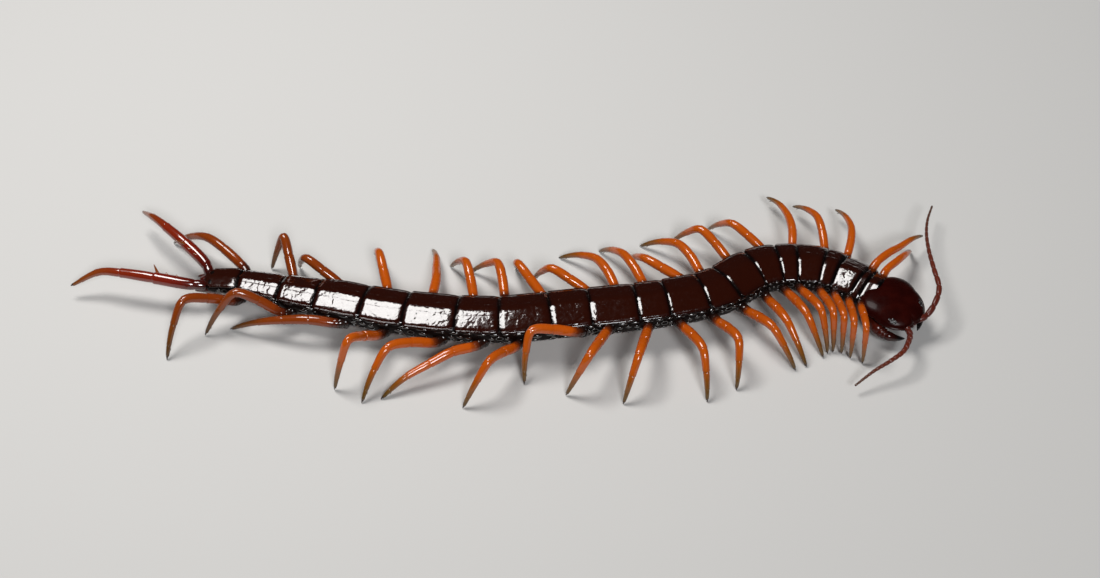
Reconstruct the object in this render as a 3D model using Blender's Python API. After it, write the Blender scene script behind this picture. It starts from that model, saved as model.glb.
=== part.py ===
"""A giant centipede at life size, as a still museum figure.

It stands on the claws of forty walking legs, with the last pair trailing behind. The trunk is
parted into seven lengths of three segments, and each leg, antenna, fang and eye patch is a piece
of its own. Metres, +Z up, head toward +X, floor at Z = 0, origin at the middle of the footprint.
Run with: blender --background --python part.py
"""

import math

import bmesh
import bpy
from mathutils import Matrix, Vector

MM = 0.001

# The route of the back seen from above, from the neck to the tail, in millimetres.
SPINE = (
    (86.4, -4.2), (77.0, 1.8), (67.5, 3.8), (58.0, 2.0), (48.0, -4.6), (34.0, -8.4),
    (15.0, -11.0), (-3.0, -13.0), (-23.0, -10.8), (-44.0, -5.8), (-62.0, -1.0), (-72.0, 0.4),
)
# The middle of the footprint on that same plan, which becomes the origin.
MIDDLE = Vector((0.0, -1.0, 0.0))
# Length of each back plate along the route, first to last: long and short ones take turns.
SEGMENTS = (
    2.8, 1.9, 5.8, 3.6, 6.2, 4.4, 6.2, 8.3, 6.4, 8.8, 7.0,
    10.8, 9.3, 11.6, 9.8, 11.9, 10.0, 11.4, 9.0, 10.4, 8.6,
)
SEGMENTS_PER_LENGTH = 3
# Half the body's width at some segments, between which it changes evenly.
HALF_WIDTHS = {1: 5.6, 3: 6.1, 5: 6.5, 14: 6.5, 16: 6.2, 18: 5.7, 19: 4.8, 20: 4.0, 21: 3.3}
BODY_FLATNESS = 0.58  # height over width
BODY_SQUARENESS = 2.5  # 2 is an ellipse, more is boxier
BODY_SIDES = 14
LEAD = 0.4  # straight run at each end of a length, so that two ends face each other squarely
BELLY_CLEARANCE = 3.7
TAIL_RISE = 1.2  # how much higher the tail's belly is than the rest
WAIST = 0.90  # width at the joint between two segments over the full width
GAP = 0.3

HEAD_LENGTH = 12.6
HEAD_WIDTH = 12.0
HEAD_HEIGHT = 5.2
HEAD_HEADING = -52.0  # degrees from +X
HEAD_PITCH = 9.0  # degrees nose down
HEAD_CENTRE_Z = 7.4
HEAD_OVERLAP = 0.6  # how far the first back plate laps over the head

# Legs. A leg's length counts from its trochanter to the tip of its claw.
FIRST_LEG = 19.0
LEG_GROWTH = 0.45  # added for each pair toward the tail
COXA_LENGTH = 2.6
COXA_SHARE = 0.65  # how much of the leg's swing its coxa takes up
ROOT_INSET = 0.55  # where the leg starts inside the body, over the half width
HIP_INSET = 0.75  # where the coxa leaves the body, over the half width
ROOT_DROP = 1.3  # how far the leg's start lies below the body's middle
# The legs stretch or draw in a little as they step: their length over the resting one.
RIGHT_LENGTHS = {1: 1.0, 14: 1.0, 16: 1.03, 18: 1.05, 19: 1.0, 20: 1.0}
LEFT_LENGTHS = {1: 0.97, 3: 1.05, 5: 1.06, 8: 1.05, 9: 0.96, 11: 1.0, 13: 0.89, 17: 0.85, 19: 0.84, 20: 1.0}
THIGH_SHARE = 0.46  # trochanter to knee over the leg's length
FOOT_SINK = 0.35  # how far a claw's axis runs below the floor before it is cut flat
LEG_SIDES_RESOLUTION = 2
# For each leg, first to last: swing back from square in degrees, reach of the foot in millimetres and
# how many degrees the knee leans forward from straight up.
RIGHT_STANCE = (
    (-35, 11, 0), (-35, 11, 0), (-35, 11.5, 0), (-28, 12.5, 0), (-25, 14.5, 0), (-20, 16.5, -10), (0, 18, -10),
    (-5, 17, -10), (5, 16, 15), (-5, 17.5, 10), (30, 17, 10), (45, 15.5, 20), (62, 15, -30), (48, 18, 10),
    (62, 24.5, -15), (45, 21, -20), (30, 15, 5), (84, 26.5, 15), (69, 19, -12), (36, 19.5, -20),
)
LEFT_STANCE = (
    (2, 16, 25), (-10, 19, 0), (28, 19.5, 40), (34, 19.5, 25), (14, 21, 40), (36, 18, -10), (21, 17.5, 5),
    (12, 20.5, 35), (25, 17.5, -30), (20, 20, 10), (32, 21, 40), (46, 16.5, -15), (15, 16.5, -20), (27, 17, 35),
    (25, 17.5, 15), (12, 21, 35), (27, 18, 0), (60, 16, -18), (55, 10.5, 18), (66, 24.5, 10),
)
# The hips' height in millimetres, and how far back in its segment each leg is rooted, at some legs.
RIGHT_HIPS = {1: 8.2, 5: 7.7, 6: 7.0, 7: 6.0, 8: 6.2, 12: 8.5, 13: 8.5, 14: 6.2, 18: 6.5, 19: 5.6, 20: 6.5}
LEFT_HIPS = {
    1: 7.8, 2: 8.5, 3: 6.3, 4: 6.5, 7: 5.2, 8: 6.4, 13: 6.0, 14: 7.2, 15: 6.3, 18: 5.6, 19: 5.0, 20: 6.8,
}
RIGHT_ROOTS = {
    1: 0.75, 2: 1.2, 3: 0.8, 4: 1.0, 7: 1.1, 11: 0.7, 12: 0.6, 13: 0.2, 14: 0.6, 15: 0.3, 16: 0.2, 17: 0.35,
    18: 0.2, 19: 0.5, 20: 0.85,
}
LEFT_ROOTS = {
    1: 0.5, 2: 1.0, 3: 0.9, 5: 1.0, 9: 1.25, 11: 1.35, 12: 0.8, 13: 1.0, 15: 0.6, 18: 0.55, 19: 0.75, 20: 0.9,
}
# Legs held clear of the floor in mid stride, and the height of the claw's tip.
LIFTED = {("left", 2): 4.0, ("left", 3): 3.0, ("left", 4): 3.0, ("left", 5): 3.0}
# Share of the leg's length at each joint past the trochanter, and the half thickness there.
LEG_JOINTS = ((0.0, 1.15), (0.23, 1.2), (0.46, 1.0), (0.70, 0.8), (0.88, 0.56), (1.0, 0.34))
LEG_FULLNESS = {1: 0.78, 8: 1.0}  # how thick a leg is over the thickest ones
LEG_BULGE = 0.07  # how far the joints between bow out from a straight thigh or shin

# The last pair: route of each from its root, x, y and height in millimetres.
LAST_RIGHT = ((-70.5, -1.6, 6.8), (-75.0, -1.6, 7.4), (-83.0, -0.4, 8.2), (-91.0, 1.2, 8.2),
              (-96.5, 2.2, 7.2), (-103.3, 1.2, 3.6))
LAST_LEFT = ((-70.0, 2.0, 6.8), (-71.6, 5.2, 7.5), (-76.0, 9.6, 8.7), (-80.6, 14.0, 9.3),
             (-85.0, 18.6, 8.8), (-89.4, 24.0, 5.8))
LAST_THICKNESS = (1.3, 1.5, 1.25, 1.0, 0.75, 0.4)

# Each antenna's route from inside the brow, as x, y and height in millimetres.
ANTENNA_LEFT = ((94.2, -11.6, 7.0), (96.8, -10.4, 7.4), (98.7, -8.4, 8.2), (100.3, -4.6, 9.1),
                (99.9, 1.4, 9.3), (99.8, 8.0, 8.5), (100.3, 14.6, 7.4), (101.5, 20.4, 6.5),
                (103.6, 26.3, 5.4))
ANTENNA_RIGHT = ((91.6, -13.4, 7.0), (92.2, -16.4, 7.2), (91.3, -19.5, 7.0), (89.9, -22.1, 6.6),
                 (86.8, -24.2, 5.8), (83.1, -26.1, 4.6), (78.8, -28.8, 2.8))
ANTENNA_BASE = 0.8
ANTENNA_TIP = 0.27
ANTENNA_STEPS = 2  # straight runs between two points of the route

# Fangs and eyes, in the head's own frame: forward, outward and up from its middle.
FANG_ROUTE = ((-3.4, 3.4, -2.5), (-0.8, 5.4, -2.6), (2.4, 5.9, -2.9), (5.2, 4.4, -3.3), (6.9, 1.9, -3.7))
FANG_THICKNESS = (1.6, 1.8, 1.6, 1.05, 0.35)
EYE_PLACE = (3.7, 4.4, 0.7)
EYE_RADIUS = 0.8

# Colour, roughness and metallic value of each material.
PLATE = ("chitin_back", (0.055, 0.010, 0.006, 1.0), 0.18, 0.0)
HEAD_SHELL = ("chitin_head", (0.060, 0.006, 0.005, 1.0), 0.2, 0.0)
LIMB = ("chitin_leg", (0.62, 0.13, 0.012, 1.0), 0.25, 0.0)
LAST_LIMB = ("chitin_last_leg", (0.26, 0.030, 0.010, 1.0), 0.22, 0.0)
FEELER = ("chitin_antenna", (0.22, 0.035, 0.015, 1.0), 0.35, 0.0)
FANG = ("chitin_fang", (0.20, 0.020, 0.008, 1.0), 0.22, 0.0)
EYE = ("eye_lens", (0.008, 0.008, 0.009, 1.0), 0.08, 0.0)


def clear_scene():
    for obj in list(bpy.data.objects):
        bpy.data.objects.remove(obj, do_unlink=True)


def new_collection(name):
    collection = bpy.data.collections.new(name)
    bpy.context.scene.collection.children.link(collection)
    return collection


def material(finish):
    name, colour, roughness, metallic = finish
    if name in bpy.data.materials:
        return bpy.data.materials[name]
    made = bpy.data.materials.new(name)
    made.use_nodes = True
    shader = made.node_tree.nodes["Principled BSDF"]
    shader.inputs["Base Color"].default_value = colour
    shader.inputs["Roughness"].default_value = roughness
    shader.inputs["Metallic"].default_value = metallic
    made.diffuse_color = colour
    return made


# ---- the route of the back ----

def through(points, steps):
    """A smooth curve through the points, as straight runs, each span in so many steps."""
    points = [Vector(p) for p in points]
    padded = [2 * points[0] - points[1]] + points + [2 * points[-1] - points[-2]]
    curve = []
    for a, b, c, d in zip(padded, padded[1:], padded[2:], padded[3:]):
        for k in range(steps):
            t = k / steps
            curve.append(
                0.5 * (2 * b + (c - a) * t + (2 * a - 5 * b + 4 * c - d) * t ** 2
                       + (3 * b - a - 3 * c + d) * t ** 3)
            )
    return curve + [points[-1]]


def spine_table():
    """Points along the back, seen from above, each with its distance from the neck."""
    line = through(SPINE, 24)
    table = [(0.0, line[0])]
    for before, point in zip(line, line[1:]):
        table.append((table[-1][0] + (point - before).length, point))
    return table


TABLE = spine_table()


def on_spine(distance):
    """Place and forward direction of the back at a distance from the neck, in millimetres."""
    for (s0, p0), (s1, p1) in zip(TABLE, TABLE[1:]):
        if distance <= s1:
            break
    forward = (p0 - p1).normalized()
    return p0.lerp(p1, (distance - s0) / (s1 - s0)), forward


STARTS = [sum(SEGMENTS[:k]) for k in range(len(SEGMENTS) + 1)]


def between(known, segment):
    """A value given at some segment numbers, at any other, which may be a fraction."""
    marks = sorted(known)
    segment = min(max(segment, marks[0]), marks[-1])
    for low, high in zip(marks, marks[1:]):
        if segment <= high:
            share = (segment - low) / (high - low)
            return known[low] * (1 - share) + known[high] * share


def half_width(segment):
    return between(HALF_WIDTHS, segment)


def body_centre_z(segment):
    """The height of the body's middle at a segment number."""
    tail = min(max((segment - 17) / 4, 0.0), 1.0)
    return BELLY_CLEARANCE + TAIL_RISE * tail + half_width(segment) * BODY_FLATNESS


# ---- making tubes and lofts ----

def in_scene(point):
    """A point of the plan in millimetres, as a place in the scene in metres."""
    return (Vector(point) - MIDDLE) * MM


def curve_object(name, points, radii, collection, resolution=2, profile=None):
    """A curve through points in millimetres, with its half thickness at each and filled ends."""
    data = bpy.data.curves.new(name, "CURVE")
    data.dimensions = "3D"
    data.twist_mode = "Z_UP"
    data.use_fill_caps = True
    if profile:
        data.bevel_mode = "OBJECT"
        data.bevel_object = profile
    else:
        data.bevel_depth = MM
        data.bevel_resolution = resolution
    spline = data.splines.new("POLY")
    spline.points.add(len(points) - 1)
    for knot, point, radius in zip(spline.points, points, radii):
        knot.co = (*in_scene(point), 1.0)
        knot.radius = radius
    obj = bpy.data.objects.new(name, data)
    collection.objects.link(obj)
    return obj


def as_mesh(curve, collection, finish=None):
    """The curve as one closed mesh under the same name."""
    name = curve.name
    bpy.context.view_layer.update()
    shaped = curve.evaluated_get(bpy.context.evaluated_depsgraph_get())
    mesh = bpy.data.meshes.new_from_object(shaped)
    place = curve.matrix_world.copy()
    bpy.data.objects.remove(curve, do_unlink=True)
    bm = bmesh.new()
    bm.from_mesh(mesh)
    bmesh.ops.remove_doubles(bm, verts=bm.verts, dist=0.00001)
    bmesh.ops.recalc_face_normals(bm, faces=bm.faces)
    bm.to_mesh(mesh)
    bm.free()
    mesh.name = name
    obj = bpy.data.objects.new(name, mesh)
    obj.matrix_world = place
    collection.objects.link(obj)
    finish_mesh(obj, finish)
    return obj


def finish_mesh(obj, finish):
    """Gives the piece its material and smooth shading with sharp edges where it turns."""
    obj.data.materials.clear()
    if finish:
        obj.data.materials.append(material(finish))
    obj.data.shade_smooth()
    obj.data.set_sharp_from_angle(angle=math.radians(50))


def cut(obj, cutter):
    """Takes the cutter away from the piece."""
    modifier = obj.modifiers.new("cut_" + cutter.name, "BOOLEAN")
    modifier.operation = "DIFFERENCE"
    modifier.solver = "EXACT"
    modifier.object = cutter


def hide(obj):
    obj.hide_render = True
    obj.display_type = "WIRE"


def move_to(collection, obj):
    for owner in list(obj.users_collection):
        owner.objects.unlink(obj)
    collection.objects.link(obj)


# ---- trunk ----

def body_profile(collection):
    """The outline across the body for a half width of one metre, rounded and flattened."""
    data = bpy.data.curves.new("body_profile", "CURVE")
    data.dimensions = "2D"
    spline = data.splines.new("POLY")
    spline.points.add(BODY_SIDES - 1)
    power = 2.0 / BODY_SQUARENESS
    for k, knot in enumerate(spline.points):
        turn = 2 * math.pi * k / BODY_SIDES
        across = math.copysign(abs(math.cos(turn)) ** power, math.cos(turn))
        up = math.copysign(abs(math.sin(turn)) ** power, math.sin(turn))
        knot.co = (across, up * BODY_FLATNESS, 0.0, 1.0)
    spline.use_cyclic_u = True
    obj = bpy.data.objects.new("body_profile", data)
    collection.objects.link(obj)
    hide(obj)
    return obj


def trunk_stations(first, last, start_trim, end_trim, waist=WAIST, extra=0.0):
    """Places and half widths along segments first to last, narrow at each joint."""
    marks = [(STARTS[first - 1] + start_trim, first - 0.5, waist)]
    for number in range(first, last + 1):
        start = STARTS[number - 1]
        length = SEGMENTS[number - 1]
        for share, fullness in ((0.0, waist), (0.22, 1.0), (0.80, 1.0)):
            distance = start + share * length
            if number == first and share == 0.0:
                distance += start_trim + LEAD
            marks.append((distance, number - 0.5 + share, fullness))
    end = STARTS[last] - end_trim
    marks += [(end - LEAD, last + 0.5, waist), (end, last + 0.5, waist)]
    points = []
    radii = []
    for distance, segment, fullness in marks:
        place, _ = on_spine(distance)
        points.append((place.x, place.y, body_centre_z(segment)))
        radii.append((half_width(segment) * fullness + extra) * MM)
    return points, radii


def trunk_length(number, profile, collection):
    first = (number - 1) * SEGMENTS_PER_LENGTH + 1
    last = first + SEGMENTS_PER_LENGTH - 1
    end_trim = 0.0 if last == len(SEGMENTS) else GAP
    points, radii = trunk_stations(first, last, 0.0, end_trim)
    curve = curve_object(f"trunk_{number}", points, radii, collection, profile=profile)
    return as_mesh(curve, collection, PLATE)


def trunk_clearance(profile, cutters):
    """The whole trunk with no waists, a gap larger all round, for cutting what meets it."""
    points, radii = trunk_stations(1, len(SEGMENTS), -GAP, -GAP, waist=1.0, extra=GAP)
    curve = curve_object("trunk_clearance", points, radii, cutters, profile=profile)
    obj = as_mesh(curve, cutters)
    hide(obj)
    return obj


def floor_block(cutters):
    """What lies below the floor, for cutting the feet flat."""
    size = 0.4
    bpy.ops.mesh.primitive_cube_add(size=size, location=(0, 0, -size / 2))
    obj = bpy.context.object
    obj.name = "floor_block"
    move_to(cutters, obj)
    hide(obj)
    return obj


# ---- legs ----

def leg_route(side, number):
    """Points and half thicknesses from inside the body to the claw. side is 1 left, -1 right."""
    stance = LEFT_STANCE if side > 0 else RIGHT_STANCE
    swing, reach, lean = stance[number - 1]
    hip_z = between(LEFT_HIPS if side > 0 else RIGHT_HIPS, number)
    rooted = between(LEFT_ROOTS if side > 0 else RIGHT_ROOTS, number)
    length = FIRST_LEG + LEG_GROWTH * (number - 1)
    length *= between(LEFT_LENGTHS if side > 0 else RIGHT_LENGTHS, number)
    place, forward = on_spine(STARTS[number - 1] + rooted * SEGMENTS[number - 1])
    outward = Vector((-forward.y, forward.x)) * side
    width = half_width(number)

    def toward(degrees):
        turn = math.radians(degrees)
        return outward * math.cos(turn) - forward * math.sin(turn)

    flank = place + outward * width * HIP_INSET
    root = Vector((*(place + outward * width * ROOT_INSET), body_centre_z(number) - ROOT_DROP))
    hip = Vector((*(flank + toward(swing * COXA_SHARE) * COXA_LENGTH), hip_z))
    lift = LIFTED.get(("left" if side > 0 else "right", number), 0.0)
    foot = Vector((*(hip.xy + toward(swing) * reach), lift))
    span = foot - hip
    thigh = length * THIGH_SHARE
    shin = length - thigh
    along = (thigh ** 2 - shin ** 2 + span.length_squared) / (2 * span.length)
    height = math.sqrt(max(thigh ** 2 - along ** 2, 0.0))
    axis = span.normalized()
    up = (Vector((0, 0, 1)) - axis * axis.z).normalized()
    ahead = axis.cross(up) * side
    lean = math.radians(lean)
    raised = up * math.cos(lean) + ahead * math.sin(lean)
    knee = hip + axis * along + raised * height
    fullness = between(LEG_FULLNESS, number)
    points = [root]
    radii = [LEG_JOINTS[0][1] * fullness]
    for share, thickness in LEG_JOINTS:
        if share <= THIGH_SHARE:
            t = share / THIGH_SHARE
            point = hip.lerp(knee, t)
            bow = raised * (4 * t * (1 - t) * LEG_BULGE * thigh)
        else:
            t = (share - THIGH_SHARE) / (1 - THIGH_SHARE)
            point = knee.lerp(foot, t)
            bow = raised * (4 * t * (1 - t) * LEG_BULGE * shin)
        points.append(point + bow)
        radii.append(max(thickness * fullness, LEG_JOINTS[-1][1]))
    if not lift:
        points[-1].z = -FOOT_SINK
    return points, radii


def smooth_route(points, radii, steps):
    """The same route with its corners eased, and its thickness carried along."""
    eased = through(points, steps)
    thickness = []
    for before, after in zip(radii, radii[1:]):
        thickness += [before + (after - before) * k / steps for k in range(steps)]
    return eased, thickness + [radii[-1]]


def leg(side, number, collection, cutters):
    name = f"leg_{'left' if side > 0 else 'right'}_{number:02d}"
    if number == len(SEGMENTS):
        points = LAST_LEFT if side > 0 else LAST_RIGHT
        curve = curve_object(name, *smooth_route(points, LAST_THICKNESS, 2), collection)
        obj = as_mesh(curve, collection, LAST_LIMB)
    else:
        points, radii = leg_route(side, number)
        curve = curve_object(name, points, radii, collection, LEG_SIDES_RESOLUTION)
        obj = as_mesh(curve, collection, LIMB)
    for cutter in cutters:
        cut(obj, cutter)
    return obj


# ---- head ----

def head_frame():
    """The head's middle on the plan, with X forward, Y to its left and Z up."""
    neck, _ = on_spine(0.0)
    heading = math.radians(HEAD_HEADING)
    ahead = HEAD_LENGTH / 2 - HEAD_OVERLAP
    centre = Vector((neck.x + math.cos(heading) * ahead, neck.y + math.sin(heading) * ahead, HEAD_CENTRE_Z))
    turn = Matrix.Rotation(heading, 4, "Z") @ Matrix.Rotation(math.radians(HEAD_PITCH), 4, "Y")
    return Matrix.Translation(centre) @ turn


def head_shape(name, collection, extra=0.0):
    """A flattened dome, broad behind and rounded in front, with a flat underside."""
    bpy.ops.mesh.primitive_uv_sphere_add(segments=20, ring_count=10, radius=1.0)
    obj = bpy.context.object
    obj.name = name
    obj.data.name = name
    move_to(collection, obj)
    frame = head_frame()
    for vertex in obj.data.vertices:
        x, y, z = vertex.co
        squarer = 1.0 + 0.10 * (1 - abs(z)) * abs(x * y) * 4
        taper = 1.0 - 0.10 * max(x, 0.0)
        depth = 1.0 if z > 0 else 0.8
        place = Vector((
            x * squarer * (HEAD_LENGTH / 2 + extra),
            y * squarer * taper * (HEAD_WIDTH / 2 + extra),
            math.copysign(abs(z) ** 0.85, z) * depth * (HEAD_HEIGHT / 2 + extra),
        ))
        vertex.co = in_scene(frame @ place)
    return obj


def in_head(place, side):
    """A point given forward, outward and up from the head's middle, on the plan."""
    forward, outward, up = place
    return head_frame() @ Vector((forward, outward * side, up))


def antenna(side, collection, cutters):
    name = "antenna_left" if side > 0 else "antenna_right"
    route = ANTENNA_LEFT if side > 0 else ANTENNA_RIGHT
    points = through(route, ANTENNA_STEPS)
    last = len(points) - 1
    radii = [ANTENNA_BASE + (ANTENNA_TIP - ANTENNA_BASE) * (k / last) ** 0.8 for k in range(last + 1)]
    obj = as_mesh(curve_object(name, points, radii, collection, 1), collection, FEELER)
    for cutter in cutters:
        cut(obj, cutter)
    return obj


def fang(side, collection, cutters):
    name = "forcipule_left" if side > 0 else "forcipule_right"
    points = [in_head(place, side) for place in FANG_ROUTE]
    curve = curve_object(name, *smooth_route(points, FANG_THICKNESS, 2), collection)
    obj = as_mesh(curve, collection, FANG)
    for cutter in cutters:
        cut(obj, cutter)
    return obj


def ball(name, centre, radius, collection):
    bpy.ops.mesh.primitive_uv_sphere_add(segments=10, ring_count=6, radius=radius * MM)
    obj = bpy.context.object
    obj.name = name
    obj.data.name = name
    move_to(collection, obj)
    obj.location = in_scene(centre)
    return obj


def build():
    clear_scene()
    animal = new_collection("giant_centipede")
    cutters = new_collection("cutters")
    profile = body_profile(cutters)

    for number in range(1, len(SEGMENTS) // SEGMENTS_PER_LENGTH + 1):
        trunk_length(number, profile, animal)
    trunk_room = trunk_clearance(profile, cutters)
    floor = floor_block(cutters)

    head = head_shape("head", animal)
    finish_mesh(head, HEAD_SHELL)
    head_room = head_shape("head_clearance", cutters, extra=GAP)
    hide(head_room)
    cut(head, trunk_room)
    for side, word in ((1, "left"), (-1, "right")):
        place = in_head(EYE_PLACE, side)
        socket = ball(f"eye_socket_{word}", place, EYE_RADIUS + GAP, cutters)
        hide(socket)
        cut(head, socket)
        eye = ball(f"eye_{word}", place, EYE_RADIUS, animal)
        finish_mesh(eye, EYE)
        antenna(side, animal, (head_room,))
        fang(side, animal, (head_room, trunk_room))
        for number in range(1, len(SEGMENTS) + 1):
            leg(side, number, animal, (trunk_room, floor))


build()
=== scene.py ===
"""The looks of a life-size still model of a giant centipede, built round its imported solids.

Pieces are modelled in millimetres on the plan of the solids, those of the trunk straight and then bent
along the back, and are brought to metres and to the frame's origin when they are finished.
"""

import math

import bpy
from mathutils import Matrix, Vector, noise


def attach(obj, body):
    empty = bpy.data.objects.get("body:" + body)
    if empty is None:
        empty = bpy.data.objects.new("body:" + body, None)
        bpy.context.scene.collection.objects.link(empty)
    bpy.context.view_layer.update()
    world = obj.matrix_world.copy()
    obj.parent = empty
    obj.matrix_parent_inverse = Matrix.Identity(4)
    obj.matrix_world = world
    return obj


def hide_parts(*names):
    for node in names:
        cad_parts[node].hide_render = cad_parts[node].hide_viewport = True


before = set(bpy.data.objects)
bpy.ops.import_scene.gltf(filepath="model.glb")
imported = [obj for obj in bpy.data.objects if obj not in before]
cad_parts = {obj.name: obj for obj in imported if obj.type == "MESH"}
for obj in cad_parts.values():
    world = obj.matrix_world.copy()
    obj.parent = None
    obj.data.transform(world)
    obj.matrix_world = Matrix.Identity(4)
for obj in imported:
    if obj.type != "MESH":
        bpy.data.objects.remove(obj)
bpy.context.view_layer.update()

# ---- The studio ----
# A plain pale floor in a dim room. One soft light hangs overhead on the left and gives the shell its
# white shine, and an even soft one from behind the camera opens the shadows.
AIM = Vector((0.010, -0.001, 0.006))
CAMERA_DISTANCE = 0.4294
CAMERA_ELEVATION = math.radians(47.0)
CAMERA_LENS = 60.0
CAMERA_SENSOR = 36.0
CAMERA_NEAR = 0.01
FLOOR_SIZE = 12.0
FLOOR_COLOUR = (0.60, 0.59, 0.57, 1.0)
FLOOR_ROUGHNESS = 0.7
ROOM_COLOUR = (0.013, 0.0135, 0.015, 1.0)
OVERHEAD_PLACE = (-0.155, 0.110, 0.50)
OVERHEAD_SIZE = (0.20, 0.22)
FRONT_PLACE = (0.20, -0.75, 0.72)
FRONT_SPREAD = math.radians(17.0)

bpy.ops.object.select_all(action="DESELECT")
toward_camera = Vector((0.0, -math.cos(CAMERA_ELEVATION), math.sin(CAMERA_ELEVATION)))
bpy.ops.object.camera_add(
    location=AIM + toward_camera * CAMERA_DISTANCE,
    rotation=(math.pi / 2 - CAMERA_ELEVATION, 0.0, 0.0),
)
camera = bpy.context.object
camera.data.lens = CAMERA_LENS
camera.data.sensor_width = CAMERA_SENSOR
camera.data.clip_start = CAMERA_NEAR
bpy.context.scene.camera = camera
bpy.context.scene.view_settings.view_transform = "Standard"

if bpy.context.scene.world is None:
    bpy.context.scene.world = bpy.data.worlds.new("room")
room = bpy.context.scene.world
room.use_nodes = True
room.node_tree.nodes["Background"].inputs["Color"].default_value = ROOM_COLOUR

bpy.ops.mesh.primitive_plane_add(size=FLOOR_SIZE)
floor = bpy.context.object
floor.name = "studio_floor"
floor_paint = bpy.data.materials.new("floor_paint")
floor_paint.use_nodes = True
paint_sockets = floor_paint.node_tree.nodes["Principled BSDF"].inputs
paint_sockets["Base Color"].default_value = FLOOR_COLOUR
paint_sockets["Roughness"].default_value = FLOOR_ROUGHNESS
floor.data.materials.append(floor_paint)


def add_light(name, kind, place, strength, colour):
    """A light that faces the animal."""
    bpy.ops.object.light_add(type=kind, location=place)
    light = bpy.context.object
    light.name = name
    light.rotation_euler = (Vector(place) - AIM).to_track_quat("Z", "Y").to_euler()
    light.data.energy = strength
    light.data.color = colour
    return light


overhead_light = add_light("overhead_light", "AREA", OVERHEAD_PLACE, 2.2, (1.0, 0.985, 0.97))
overhead_light.data.shape = "RECTANGLE"
overhead_light.data.size, overhead_light.data.size_y = OVERHEAD_SIZE
front_light = add_light("front_light", "SUN", FRONT_PLACE, 1.9, (0.95, 0.97, 1.0))
front_light.data.angle = FRONT_SPREAD

# ---- The back plates ----
# Twenty-one hard plates of polished dark mahogany shell cover the back, long and short by turns. Each is
# arched, with two fine seams along it and a raised rim at its sides, and its hind lip laps over the next.
MM = 0.001
MIDDLE = Vector((0.0, -1.0, 0.0))
SPINE = (
    (86.4, -4.2), (77.0, 1.8), (67.5, 3.8), (58.0, 2.0), (48.0, -4.6), (34.0, -8.4),
    (15.0, -11.0), (-3.0, -13.0), (-23.0, -10.8), (-44.0, -5.8), (-62.0, -1.0), (-72.0, 0.4),
)
SEGMENTS = (
    2.8, 1.9, 5.8, 3.6, 6.2, 4.4, 6.2, 8.3, 6.4, 8.8, 7.0,
    10.8, 9.3, 11.6, 9.8, 11.9, 10.0, 11.4, 9.0, 10.4, 8.6,
)
STARTS = [sum(SEGMENTS[:k]) for k in range(len(SEGMENTS) + 1)]
HALF_WIDTHS = {1: 5.6, 3: 6.1, 5: 6.5, 14: 6.5, 16: 6.2, 18: 5.7, 19: 4.8, 20: 4.0, 21: 3.3}
FLATNESS = 0.58
BELLY_CLEARANCE = 3.7
TAIL_RISE = 1.2
PLATE_SHARE = 0.94  # a plate's half width over the body's
# Each half of a plate slopes almost evenly from a soft ridge and turns down at its side. The plates from
# the fifth to the tenth are rounder, with shorter hind lips.
PLATE_SLOPE = {1: 0.38, 3: 0.38, 6: 0.15, 10: 0.15, 13: 0.27, 20: 0.27, 21: 0.12}
PLATE_ROUNDING = {4: 0.03, 6: 0.14, 10: 0.14, 13: 0.03}
LIP_SHARE = {4: 0.9, 6: 0.6, 10: 0.6, 12: 0.9}
RIDGE_SOFTNESS = 0.08
NECK_RISE = {1: 0.08, 3: 0.08, 4: 0.0, 5: 0.0}  # how steeply the first plates rise towards the head
TAIL_DROOP = 0.012  # how fast the last plate curves down to its hind end
SIDE_FLARE = 0.06  # how far a plate's sides turn down, over its half width
FRONT_TAPER = 0.10  # how much narrower a plate is at its front edge
PLATE_WALL = 0.25
LAP_AHEAD = 0.5  # how far a plate reaches in under the one before it
LAP_BEHIND = 0.15
LIP_LENGTH = 1.45
LIP_SPAN = 0.15  # share of the pattern that makes each lip
LIP_CURVE = {11: 2.0, 12: 1.5}  # how softly a lip begins to turn down
FRONT_DIP = 0.46  # how deep the front edge dips in under the plate before it
FIRST_DIP = 0.16
HIND_DIP = 0.30
END_LOBE = 2.6  # how far the last plate's hind edge is drawn out in the middle
SEAM_PLACE = 0.30  # of the half width
SEAM_DEPTH = 0.022
SEAMED = range(3, 21)  # the plates with seams
RIM_FROM = 7  # the first plate with raised rims
RIM_HEIGHT = 0.13
RIM_GROOVE = 0.06  # how deep the groove inside the rim is
EDGE_BEAD = 0.05  # height of the thin bead that the plates before it have
UNEVENNESS = 0.035
SEAM_CUTS = (0.268, 0.287, 0.30, 0.313, 0.332)
RIM_CUTS = (0.868, 0.89, 0.905, 0.93, 0.95, 0.965, 0.982)
LIP_CUTS = (0.77, 0.82, 0.90, 0.945, 0.98)
SHELL_BEND = 1.56  # refractive index
COAT_ROUGHNESS = 0.07
GLOSS_SIZE = 0.9  # of the patches that shine more and less
PIT_SIZE = 0.16
DENT_SIZE = 1.5
DENTS_BETWEEN = (0.52, 0.72)  # the part of the noise that sinks in as dents
PLATE_COLOURS = (
    (0.0, (0.021, 0.003, 0.0009)), (0.4, (0.015, 0.002, 0.0007)), (0.7, (0.004, 0.001, 0.0007)),
    (1.0, (0.0014, 0.0009, 0.0007)),
)


def through(points, steps):
    """A smooth curve through the points, as straight runs, each span in so many steps."""
    points = [Vector(point) for point in points]
    padded = [2 * points[0] - points[1]] + points + [2 * points[-1] - points[-2]]
    curve = []
    for a, b, c, d in zip(padded, padded[1:], padded[2:], padded[3:]):
        for k in range(steps):
            t = k / steps
            curve.append(
                0.5 * (2 * b + (c - a) * t + (2 * a - 5 * b + 4 * c - d) * t ** 2
                       + (3 * b - a - 3 * c + d) * t ** 3)
            )
    return curve + [points[-1]]


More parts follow.
